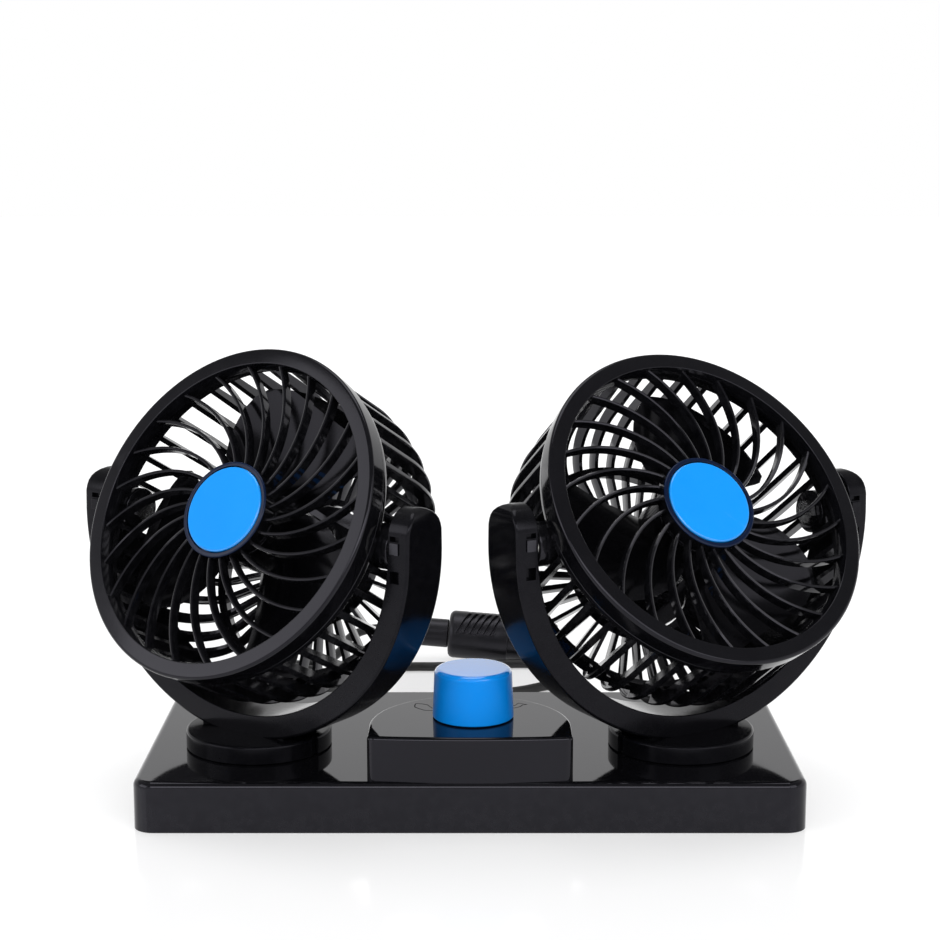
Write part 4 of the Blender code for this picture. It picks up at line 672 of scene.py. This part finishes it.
plugGroove = dict(
    count=6, first=0.0260, pitch=0.0027, lean=0.0044, half=0.00095, depth=0.0011, radius=0.0095,
    low=math.radians(18), high=math.radians(82), steps=10)
plugBody = dict(
    profile=[(0.022, 0), (0.022, 0.0095), (0.046, 0.0095), (0.046, 0.0086), (0.06, 0.0086),
        (0.06, 0.004), (0.032, 0.004), (0.032, 0)], rounds={1: 0.0022, 2: 0.0006, 4: 0.0005},
    steps=4, sides=48, slot=[(0.0497, 0.0053, -0.0017), (0.0593, 0.0106, 0.0017)])


def addGroove(bm, start, sign):
    groove, rings = plugGroove, []
    half, depth = groove["half"], groove["depth"]
    for share in shares(groove["steps"]):
        rise = blend(groove["low"], groove["high"], share)
        angle = math.pi / 2 - sign * (math.pi / 2 - rise)
        rings.append([aroundX(start + groove["lean"] * share + across, groove["radius"] + out,
                              angle)
                      for across, out in ((-half * 0.6, -depth), (half * 0.6, -depth),
                                          (half, depth), (-half, depth))])
    skinRings(bm, rings)


def buildPlugBody():
    # grip with slanting grooves over both cheeks, then the plain barrel
    body = addPiece("plugBody", shaped(turnShape, plugBody, aroundX), plugPlace(), "base",
                    "matt", "plug_body")
    bm = bmesh.new()
    for number in range(plugGroove["count"]):
        for sign in (1, -1):
            addGroove(bm, plugGroove["first"] + plugGroove["pitch"] * number, sign)
    for sign in (1, -1):
        addBlock(bm, *[(x, sign * y, z) for x, y, z in plugBody["slot"]])
    combine(body, bm, plugPlace())
    return body


plugNose = dict(
    profile=[(0.0603, 0.0035), (0.0603, 0.0078), (0.0658, 0.0072), (0.0658, 0.0035)],
    rounds={2: 0.0014}, steps=4, sides=40)


def buildPlugNose():
    return addPiece("plugNose", shaped(turnShape, plugNose, aroundX), plugPlace(), "base",
                    "matt", "plug_nose")


plugSpring = dict(
    start=0.0323, length=0.0074, travel=0.003, radius=0.00272, wire=0.00035, turns=4.5, perTurn=20,
    sides=8)


def buildPlugSpring():
    # wound wire behind the fuse, short enough for the tip to be pushed all the way in
    make = plugSpring
    low = make["start"] + make["wire"]
    run = make["length"] - make["travel"] - 2 * make["wire"]
    count = round(make["turns"] * make["perTurn"])
    rings = []
    for step in range(count + 1):
        turn = fullTurn * make["turns"] * step / count
        centre = aroundX(low + run * step / count, make["radius"], turn)
        outward = aroundX(0, 1, turn)
        rings.append([centre + make["wire"] * (outward * math.cos(around)
                                               + Vector((math.sin(around), 0, 0)))
                      for around in [fullTurn * k / make["sides"] for k in range(make["sides"])]])
    addPiece("plugSpring", shaped(skinRings, rings), plugPlace(), "base", "steel",
             "plug_spring")


bushPiece = buildCordBush()
buildPlugSpring()
plugPieces = [buildPlugRelief(), buildPlugBody(), buildPlugNose()]
print("cord and plug built")


# Base cover: a hollow moulding with the raised dais under the knob

# Posts and holes are given as radius, start, end and number of sides
base = dict(
    cornerX=0.0974, cornerY=0.0438, corner=0.0066, rimLow=0.0001, ceiling=0.0138, top=0.016,
    edge=0.0022, wall=0.0022, under=0.002, daisHalf=0.0317, daisArcY=-0.0339,
    daisFront=-0.0482, bulge=0.0012, daisTop=0.030, daisEdge=0.0013, daisCorner=0.0026,
    leastCorner=0.0004, backSteps=48, cornerSteps=8, frontSteps=20,
    screwX=0.090, screwY=0.038, knobX=0.001, knobY=-0.0265, boss=(0.0036, 0.004, 0.0144, 20),
    screwHole=(0.0015, 0.002, 0.0091, 16), swivelHole=(0.0083, 0.0118, 0.018, 40),
    knobHole=(0.0039, 0.024, 0.032, 28), bushHole=(0.0031, 0.0462, 0.0524, 28),
    rib=[(0.0494, -0.0482, 0.006), (0.0506, 0.0482, 0.0144)])


def arcPoints(x, y, radius, start, sweep, steps, ends=1):
    return [(x + radius * math.cos(start + sweep * step / steps),
             y + radius * math.sin(start + sweep * step / steps))
            for step in range(1 - ends, steps + ends)]


def basePlan(inset):
    points = []
    for quarter, (x, y) in enumerate(((1, 1), (-1, 1), (-1, -1), (1, -1))):
        points += arcPoints(x * base["cornerX"], y * base["cornerY"], base["corner"] - inset,
                            math.pi / 2 * quarter, math.pi / 2, base["cornerSteps"])
    return points


def daisPlan(inset):
    # round back, straight sides, rounded front corners and a slightly bulged front
    half, front = base["daisHalf"] - inset, base["daisFront"] + inset
    corner = max(base["daisCorner"] - inset, base["leastCorner"])
    side, low = half - corner, front + corner
    turn, steps = math.pi / 2, base["cornerSteps"]
    points = arcPoints(0, base["daisArcY"], half, 0, math.pi, base["backSteps"])
    points += arcPoints(-side, low, corner, math.pi, turn, steps, 0)
    for share in [2 * share - 1 for share in shares(base["frontSteps"])]:
        points.append((share * side, front - base["bulge"] * (1 - share * share)))
    return points + arcPoints(side, low, corner, math.pi * 1.5, turn, steps, 0)


def slabShape(bm, plan, low, high, edge, steps=6):
    rings = [[Vector((*p, low)) for p in plan(0)]]
    for step in range(steps + 1):
        angle = math.pi / 2 * step / steps
        inset = edge * (1 - math.cos(angle))
        rings.append([Vector((*p, high - edge * (1 - math.sin(angle)))) for p in plan(inset)])
    skinRings(bm, rings)


def hollowShape(bm, plan, low, high):
    skinRings(bm, [[Vector((*p, z)) for p in plan(base["wall"])] for z in (low, high)])


def buildBaseCover():
    top, ceiling, under = base["top"], base["ceiling"], base["under"]
    cover = addPiece("baseCover", shaped(slabShape, basePlan, base["rimLow"], top, base["edge"]),
                     origin, "base", "gloss", "base_cover")
    combine(cover, shaped(slabShape, daisPlan, ceiling, base["daisTop"], base["daisEdge"]),
            origin, "UNION")
    combine(cover, shaped(hollowShape, basePlan, -under, ceiling), origin)
    combine(cover, shaped(hollowShape, daisPlan, ceiling - under,
                          base["daisTop"] - base["wall"]), origin)
    screws = [(x, y, 0) for x in (-base["screwX"], base["screwX"])
              for y in (-base["screwY"], base["screwY"])]
    solid, holes = bmesh.new(), bmesh.new()
    for spot in screws:
        addPost(solid, spot, *base["boss"], aroundZ)
        addPost(holes, spot, *base["screwHole"], aroundZ)
    for sign in (-1, 1):
        addBlock(solid, *[(sign * x, y, z) for x, y, z in base["rib"]])
    for sign in (1, -1):
        addPost(holes, (sign * stand["swivelX"], stand["swivelY"], 0), *base["swivelHole"],
                aroundZ)
    addPost(holes, (base["knobX"], base["knobY"], 0), *base["knobHole"], aroundZ)
    addPost(holes, (0, 0, cordMake["bushEnd"][2]), *base["bushHole"], aroundY)
    combine(cover, solid, origin, "UNION")
    combine(cover, holes, origin)
    softenNormals(cover)


buildBaseCover()


# Both ends' outlines in millimetres from the knob's centre, right and back
speedMark = dict(
    leftEnd=[(-12.8, 6.2), (-15.5, 6.6), (-17.2, 8.2), (-18.7, 10.1), (-18.8, 12.4), (-18.4, 14.2),
        (-16.6, 13.7), (-14.7, 12.6), (-13.1, 8.75)], rightEnd=[(13.3, 11.6), (14.7, 14.5),
        (17.4, 12.9), (16.0, 12.6), (15.1, 10.6), (13.2, 9.0)], bandSteps=16, line=0.00020,
    height=0.00007, sunk=0.00003, topShare=0.6)


def bandBetween(first, last, steps):
    # points round the back of the knob between two points, turning and moving out evenly
    angles = [math.atan2(y, x) for x, y in (first, last)]
    radii = [math.hypot(x, y) for x, y in (first, last)]
    points = [(blend(*radii, share), blend(*angles, share)) for share in shares(steps, 1)[:-1]]
    return [(radius * math.cos(angle), radius * math.sin(angle)) for radius, angle in points]


def buildSpeedMark():
    # fine printed outline of an arrow that runs clockwise round the back of the knob
    mark = speedMark
    left, right, steps = mark["leftEnd"], mark["rightEnd"], mark["bandSteps"]
    outline = (left + bandBetween(left[-1], right[0], steps) + right
               + bandBetween(right[-1], left[0], steps))
    loop = [Vector((x / 1000, y / 1000, 0)) for x, y in outline]
    centre = Vector((base["knobX"], base["knobY"], base["daisTop"] - mark["sunk"]))
    rise = Vector((0, 0, mark["height"]))
    rings = []
    for number, point in enumerate(loop):
        before = (point - loop[number - 1]).normalized()
        after = (loop[(number + 1) % len(loop)] - point).normalized()
        along = (before + after).normalized()
        across = Vector((-along.y, along.x, 0)) * mark["line"]
        upper = across * mark["topShare"]
        rings.append([centre + point - across, centre + point + across,
                      centre + point + upper + rise, centre + point - upper + rise])
    addPiece("speedMark", shaped(skinRings, rings, looped=True), origin, "base", "ink")


buildSpeedMark()


knobMake = dict(
    profile=[(0.0418, 0), (0.0418, 0.0024), (0.0337, 0.0024), (0.0337, 0.0072), (0.0303, 0.0072),
        (0.0303, 0.0128), (0.046, 0.0122), (0.046, 0)], rounds={4: 0.0003, 5: 0.0004, 6: 0.0018},
    steps=7, sides=96, glossFrom=0.0449)


def buildKnob():
    bm = bmesh.new()
    for face in turnShape(bm, knobMake, aroundZ):
        face.material_index = int(face.calc_center_median().z > knobMake["glossFrom"])
    place = Matrix.Translation((base["knobX"], base["knobY"], 0))
    softenNormals(addPiece("speedKnob", bm, place, "knob", "knob knobTop",
                           "speed_knob"))


buildKnob()
print("base and knob built")


# Heads: front grille with its hub, blue cap, rear cage and rotor

# A rib's section runs across by half its width, and back; in the cage it runs in by a
# share of its depth
grille = dict(
    rim=dict(profile=[(0, 0.0497), (0.0026, 0.0489), (0.0047, 0.0489), (0.0047, 0.0527),
        (0.0068, 0.0527), (0.0068, 0.0546), (0, 0.055)], rounds={0: 0.0003, 5: 0.0003, 6: 0.0011},
        steps=5, sides=144),
    hub=dict(profile=[(0.0047, 0), (0.0047, 0.0159), (-0.0005, 0.0159), (-0.0005, 0.0144),
        (0.0008, 0.0144), (0.0008, 0)], rounds={1: 0.0003, 2: 0.0005, 3: 0.0002}, steps=4,
        sides=96), navyBack=0.0002, ribs=24, ribHalf=0.0006, sweep=math.radians(31),
    hubRadius=0.0159, inner=0.0492, ribStart=0.0155, ribEnd=0.0494, steps=18,
    section=[(-1, 0.0046), (-1, 0.0018), (-0.72, 0.00138), (0, 0.0012), (0.72, 0.00138),
        (1, 0.0018), (1, 0.0046)])


def buildFrontGrille(side):
    make = grille
    bm = shaped(turnShape, make["rim"], aroundY)
    for face in turnShape(bm, make["hub"], aroundY):
        face.material_index = int(face.calc_center_median().y < make["navyBack"])
    start, end, hub = make["ribStart"], make["ribEnd"], make["hubRadius"]
    rate = make["sweep"] / (make["inner"] - hub)
    for rib in range(make["ribs"]):
        centre = headPose[side]["ribStart"] + fullTurn * rib / make["ribs"]
        rings = []
        for step in range(make["steps"] + 1):
            radius = start + (end - start) * step / make["steps"]
            angle = centre + rate * (radius - hub)
            wide = make["ribHalf"] * math.sqrt(1 + (radius * rate) ** 2) / radius
            rings.append([aroundY(back, radius, angle + wide * across)
                          for across, back in make["section"]])
        skinRings(bm, rings)
    softenNormals(addPiece(side + "FrontGrille", bm, headPlace(side), side + "_head",
                           "ring navy", side + "_front_grille", 40))


hubCap = dict(
    profile=[(-0.0008, 0), (-0.0008, 0.0141), (0.0005, 0.0141), (0.0005, 0)], rounds={1: 0.0007},
    steps=6, sides=96, rimFrom=-0.00078)


def buildHubCap(side):
    bm = bmesh.new()
    for face in turnShape(bm, hubCap, aroundY):
        face.material_index = int(face.calc_center_median().y > hubCap["rimFrom"])
    softenNormals(addPiece(side + "HubCap", bm, headPlace(side), side + "_head", "cap capRim",
                           side + "_hub_cap"))


cage = dict(
    rim=dict(profile=[(0.01, 0.0538), (0.01, 0.0512), (0.0057, 0.0514), (0.0057, 0.0524),
        (0.0071, 0.0524), (0.0071, 0.0543)], rounds={0: 0.0004, 5: 0.0003}, steps=3, sides=144),
    centre=dict(profile=[(0.056, 0.022), (0.052, 0.022), (0.052, 0.0198), (0.056, 0.0198)],
        rounds={0: 0.0003, 3: 0.0003}, steps=3, sides=96),
    boss=dict(profile=[(0.0502, 0.0025), (0.0502, 0.007), (0.0579, 0.007), (0.0579, 0.0025)],
        rounds={1: 0.0003, 2: 0.0005}, steps=3, sides=40), radius=0.0538, start=0.009,
    startDepth=0.0026, ribs=40, width=0.0022, endWidth=0.0015, depth=0.004, shoulder=0.028,
    back=0.056, flatRadius=0.0358, end=0.0216, crossRing=slice(15, 18), crossSides=120,
    bend=range(0, 86, 5), section=[(-1, 0.12), (-0.7, 0.02), (0, 0), (0.7, 0.02), (1, 0.12),
        (0.8, 1), (-0.8, 1)])


def cageTrack():
    # outer and inner points of a rib as (back, radius), rim to centre ring
    make = cage
    middle, flat, depth = make["shoulder"], make["flatRadius"], make["depth"]
    run, drop = make["back"] - middle, make["radius"] - flat
    track = [((make["start"], make["radius"]),
              (make["start"], make["radius"] - make["startDepth"]))]
    for degrees in make["bend"]:
        along, across = math.sin(math.radians(degrees)), math.cos(math.radians(degrees))
        track.append(((middle + run * along, flat + drop * across),
                      (middle + (run - depth) * along, flat + (drop - depth) * across)))
    return track + [((make["back"], make["end"]), (make["back"] - depth, make["end"]))]


def buildRearCage(side):
    make, track, bm = cage, cageTrack(), bmesh.new()
    turnShape(bm, make["rim"], aroundY)
    turnShape(bm, make["centre"], aroundY)
    outers, inners = zip(*track[make["crossRing"]])
    turnProfile(bm, outers + inners[::-1], make["crossSides"], aroundY)
    for rib in range(make["ribs"]):
        angle = fullTurn * rib / make["ribs"]
        rings = []
        for number, (outer, inner) in enumerate(track):
            half = blend(make["width"], make["endWidth"], number / (len(track) - 1)) / 2
            section = []
            for across, sink in make["section"]:
                back, radius = [blend(*pair, sink) for pair in zip(outer, inner)]
                section.append(aroundY(back, radius, angle + across * half / radius))
            rings.append(section)
        skinRings(bm, rings)
    for sign in (1, -1):
        turnShape(bm, make["boss"], lambda along, *rest: aroundX(sign * along, *rest),
                  Vector((0, stand["pivotBack"], 0)))
    addPiece(side + "RearCage", bm, headPlace(side), side + "_head", "cage",
             side + "_rear_cage", 38)


rotor = dict(
    profile=[(0.0093, 0), (0.0093, 0.0015), (0.0221, 0.0015), (0.0221, 0.0036), (0.011, 0.0036),
        (0.011, 0.01), (0.0123, 0.0113), (0.0238, 0.0113), (0.0238, 0.013), (0.0076, 0.013),
        (0.0076, 0)], rounds={9: 0.003}, steps=6, sides=72, hub=0.013, root=0.0122, tip=0.046,
    blades=3, thickness=0.0012, bladeFront=0.0105, bladeRear=0.0236, rootSpan=math.radians(102),
    tipSpan=math.radians(70), lean=math.radians(-18), relief=0.001, roundFrom=0.86, roundBy=0.10,
    edgeShare=0.35, acrossSteps=22, outSteps=16)


def bladeRing(radius, centre):
    make = rotor
    share = (radius - make["hub"]) / (make["tip"] - make["hub"])
    span = blend(make["rootSpan"], make["tipSpan"], share)
    relief = make["relief"] * max(0.0, share)
    # the outer corners of the blade are rounded off near its tip
    trim = max(0.0, share - make["roundFrom"]) / (1 - make["roundFrom"])
    keep = 1 - make["roundBy"] * (1 - math.sqrt(max(0.0, 1 - trim * trim)))
    front, rear = [], []
    steps = make["acrossSteps"]
    for step in range(steps + 1):
        along = 0.5 + (step / steps - 0.5) * keep
        angle = centre + make["lean"] * share * share + span * (along - 0.5)
        depth = make["bladeRear"] - relief - (make["bladeRear"] - make["bladeFront"]
                                              - 2 * relief) * along
        edge = min(1.0, min(step, steps - step) / 2)
        thick = make["thickness"] * blend(make["edgeShare"], 1, edge)
        middle = depth + make["thickness"] / 2
        front.append(aroundY(middle - thick / 2, radius, angle))
        rear.append(aroundY(middle + thick / 2, radius, angle))
    return front + rear[::-1]


def buildRotor(side):
    make = rotor
    bm = shaped(turnShape, make, aroundY)
    root, steps = make["root"], make["outSteps"]
    for blade in range(make["blades"]):
        centre = fullTurn * blade / make["blades"]
        skinRings(bm, [bladeRing(root + (make["tip"] - root) * step / steps, centre)
                       for step in range(steps + 1)])
    addPiece(side + "Rotor", bm, rotorPlace(side), side + "_rotor", "blade",
             side + "_rotor", 35)


# Yokes

# The disc is turned in one with the hollow spigot, which has a groove for the clip
hoop = dict(
    outer=0.0675, inner=0.0598, half=0.009, armTop=0.1014, tipRound=0.0042,
    tipAngle=math.radians(88), edge=0.0010, innerEdge=0.0004, arcSteps=72, tipSteps=8,
    disc=dict(profile=[(0.0061, 0), (0.0061, 0.0235), (0.0003, 0.0235), (0.0003, 0.008),
        (-0.0037, 0.008), (-0.0037, 0.0072), (-0.0053, 0.0072), (-0.0053, 0.008), (-0.0072, 0.008),
        (-0.0072, 0.0045), (0.0003, 0.0045), (0.0003, 0)], rounds={1: 0.0009, 2: 0.0003}, steps=4,
        sides=96), dullBelow=0.0063, foot=[(-0.017, -0.0082, 0.0055), (0.017, 0.0082, 0.0079)],
    notch=[(0.0223, -0.0015, -0.0017), (0.0247, 0.0015, 0.0065)], pin=(0.0578, 0.0643),
    pinHole=0.0025, pinSides=24)


def hoopStations():
    make = hoop
    half, middle = make["half"], (make["outer"] + make["inner"]) / 2
    tip = []
    for share in shares(make["tipSteps"])[:-1]:
        angle = make["tipAngle"] * (1 - share)
        rise = half * math.sin(angle)
        over = max(0.0, rise - half + make["tipRound"])
        trim = make["tipRound"] - math.sqrt(max(0.0, make["tipRound"] ** 2 - over ** 2))
        tip.append((-middle, make["armTop"] - half + rise, math.pi, half * math.cos(angle),
                    trim))
    arc = []
    for step in range(make["arcSteps"] + 1):
        angle = math.pi + math.pi * step / make["arcSteps"]
        arc.append((middle * math.cos(angle), stand["pivotHeight"] + middle * math.sin(angle),
                    angle, half, 0.0))
    return tip + arc + [(-x, z, 3 * math.pi - angle, wide, trim)
                        for x, z, angle, wide, trim in reversed(tip)]


def hoopSection(x, z, angle, half, trim):
    make = hoop
    reach = (make["outer"] - make["inner"]) / 2
    centre = Vector((x, 0, z - stand["deck"]))
    edge, small = min(make["edge"], half * 0.5), min(make["innerEdge"], half * 0.3)
    outline = roundCorners([(reach - trim, -half), (reach - trim, half), (-reach, half),
                            (-reach, -half)], {0: edge, 1: edge, 2: small, 3: small}, 3)
    outward = Vector((math.cos(angle), 0, math.sin(angle)))
    return [centre + outward * out + Vector((0, across, 0)) for out, across in outline]


# On the front of each arm: near and far side, drops from the arm's top, and depth
armFront = dict(
    cuts=[(0.0607, 0.0641, 0.0078, 0.0094, 0.0016), (0.0607, 0.0641, 0.0184, 0.0222, 0.0022),
        (0.0604, 0.0663, 0.00398, 0.00442, 0.0006), (0.0604, 0.0663, 0.00058, 0.00102, 0.0006)],
    over=0.002, square=(0.0607, 0.0641, 0.0097, 0.0134, 0.001), squareEdge=0.0003, proud=0.0005)


def buildYoke(side):
    make, arm, place = hoop, armFront, yokePlace(side)
    front, top = -make["half"], make["armTop"] - stand["deck"]
    yoke = addPiece(side + "Yoke", shaped(skinRings, [hoopSection(*s) for s in hoopStations()]),
                    place, side + "_yoke", "yoke pad disc", side + "_yoke")
    combine(yoke, shaped(turnShape, make["disc"], aroundZ), place, "UNION")
    combine(yoke, shaped(addBlock, *make["foot"]), place, "UNION")

    def addFront(bm, sign, over, block, rounding=0.0):
        near, far, high, low, depth = block
        addBlock(bm, (sign * near, front - over, top - low),
                 (sign * far, front + depth, top - high), rounding)

    cuts, squares = bmesh.new(), bmesh.new()
    for sign in (1, -1):
        addPost(cuts, (0, 0, pivotRise), make["pinHole"], *[sign * x for x in make["pin"]],
                make["pinSides"], aroundX)
        for cut in arm["cuts"]:
            addFront(cuts, sign, arm["over"], cut)
        addBlock(cuts, *[(sign * x, y, z) for x, y, z in make["notch"]])
        addFront(squares, sign, arm["proud"], arm["square"], arm["squareEdge"])
    combine(yoke, cuts, place)
    combine(yoke, squares, place, "UNION")
    # the square that faces the knob takes a lighter, glossier black as painted light; the same
    # squares on the outer arms keep the yoke's finish, and the disc stays dull
    back = place.inverted()
    for face in yoke.data.polygons:
        centre = back @ face.center
        if centre.z < make["dullBelow"]:
            face.material_index = 2
        elif centre.y < front - arm["proud"] / 2 and centre.x * headPose[side]["sign"] < 0:
            face.material_index = 1
    softenNormals(yoke)


for side in headPose:
    buildFrontGrille(side)
    buildHubCap(side)
    buildRearCage(side)
    buildRotor(side)
    buildYoke(side)
print("heads built")


# The part's own solids that stay in view take their finishes here

sideNodes = dict(
    _pivot_pin_left="steel", _pivot_pin_right="steel", _pivot_washer_left="nylon",
    _pivot_washer_right="nylon", _swivel_washer="nylon", _swivel_clip="steel", _motor="steel",
    _motor_shaft="steel", _motor_mount="cage")
nodeFinishes = {
    "base_plate": "matt", "adhesive_pad": "foam", "control_board": "board",
    "speed_switch": "matt", "switch_nut": "steel", "switch_shaft": "steel",
    "plug_fuse": "glass", "plug_pin": "steel",
    "plug_contact_left": "steel", "plug_contact_right": "steel",
    **{"plate_screw_" + str(number): "steel" for number in range(1, 5)},
    **{side + name: finish for side in headPose for name, finish in sideNodes.items()},
}
for name, finish in nodeFinishes.items():
    for slot in bpy.data.objects[name].material_slots:
        slot.material = finishes[finish]
print("finishes put on the part's own solids:", len(nodeFinishes))


# Floor, backdrop light and lamps

studio = dict(
    floorHalf=4.0, floorColour=(0.62, 0.62, 0.625), floorRough=0.14, floorShine=0.6,
    floorShade=0.99, shadeScale=3.0, floorGlow=(0.42, 0.52), glowReach=(0.15, 1.0),
    cameraWhite=1.0, surround=0.60, upperWhite=0.30, upperReach=(0.36, 0.60), aim=(0, 0, 0.06),
    lamps=[dict(name="frontLeft", place=(-1.19, -0.58, 0.70), size=(1.0, 0.7), power=4.5),
        dict(name="frontRight", place=(0.90, -0.95, 0.85), size=(0.9, 0.8), power=4.8),
        dict(name="frontFill", place=(0, -1.45, 0.95), size=(1.2, 0.5), power=7.5),
        dict(name="above", place=(0, 0.25, 1.4), size=(0.9, 0.7), power=5.0)])


def lightPathShare(tree):
    # one for rays that see the backdrop itself: from the camera, in a gloss or through glass
    rays = addNode(tree, "LightPath", {})
    share = addMath(tree, "ADD", rays["Is Camera Ray"], rays["Is Glossy Ray"])
    return addMath(tree, "ADD", share, rays["Is Transmission Ray"], clamp=True)


def buildWorld():
    # the backdrop is white up to a little above the horizon and darker overhead
    world = bpy.data.worlds.new("studioWorld")
    world.use_nodes = True
    tree = world.node_tree
    place = addNode(tree, "TexCoord", {})
    parts = addNode(tree, "SeparateXYZ", {"Vector": place["Generated"]})
    seen = addRange(tree, parts["Z"], *studio["upperReach"], studio["cameraWhite"],
                    studio["upperWhite"])
    strength = addNode(tree, "Mix", {"Factor": lightPathShare(tree), "A": studio["surround"],
                                     "B": seen}, data_type="FLOAT")
    feed(tree, tree.nodes["Background"], {"Color": (1.0, 1.0, 1.0),
                                          "Strength": strength["Result"]})
    bpy.context.scene.world = world


def buildFloor():
    half = studio["floorHalf"]
    mesh = bpy.data.meshes.new("studioFloor")
    mesh.from_pydata([(-half, -half, 0), (half, -half, 0), (half, half, 0), (-half, half, 0)],
                     [], [(0, 1, 2, 3)])
    material, tree, shader, place = startFinish("paleFloor")
    tone = addRange(tree, addNoise(tree, place["Object"], studio["shadeScale"]), 0.3, 0.7)
    colour = mixColour(tree, tone, studio["floorColour"],
                       [c * studio["floorShade"] for c in studio["floorColour"]])
    # far from the object the floor fades into the white backdrop
    away = addNode(tree, "VectorMath", {0: place["Object"]}, operation="LENGTH")
    glow = addRange(tree, away["Value"], *studio["glowReach"], *studio["floorGlow"])
    feed(tree, shader, {
        "Base Color": colour, "Roughness": studio["floorRough"],
        "Specular IOR Level": studio["floorShine"], "Emission Color": (1.0, 1.0, 1.0),
        "Emission Strength": addMath(tree, "MULTIPLY", glow, lightPathShare(tree))})
    mesh.materials.append(material)
    addObject("studioFloor", mesh)


def buildLamps():
    for lamp in studio["lamps"]:
        data = bpy.data.lights.new(lamp["name"], "AREA")
        data.shape = "RECTANGLE"
        data.size, data.size_y = lamp["size"]
        data.energy = lamp["power"]
        light = addObject(lamp["name"], data)
        light.location = lamp["place"]
        reach = Vector(studio["aim"]) - light.location
        light.rotation_euler = reach.to_track_quat("-Z", "Y").to_euler()


buildWorld()
buildFloor()
buildLamps()
bpy.context.scene.view_settings.view_transform = "Standard"
print("floor, backdrop and lamps set")
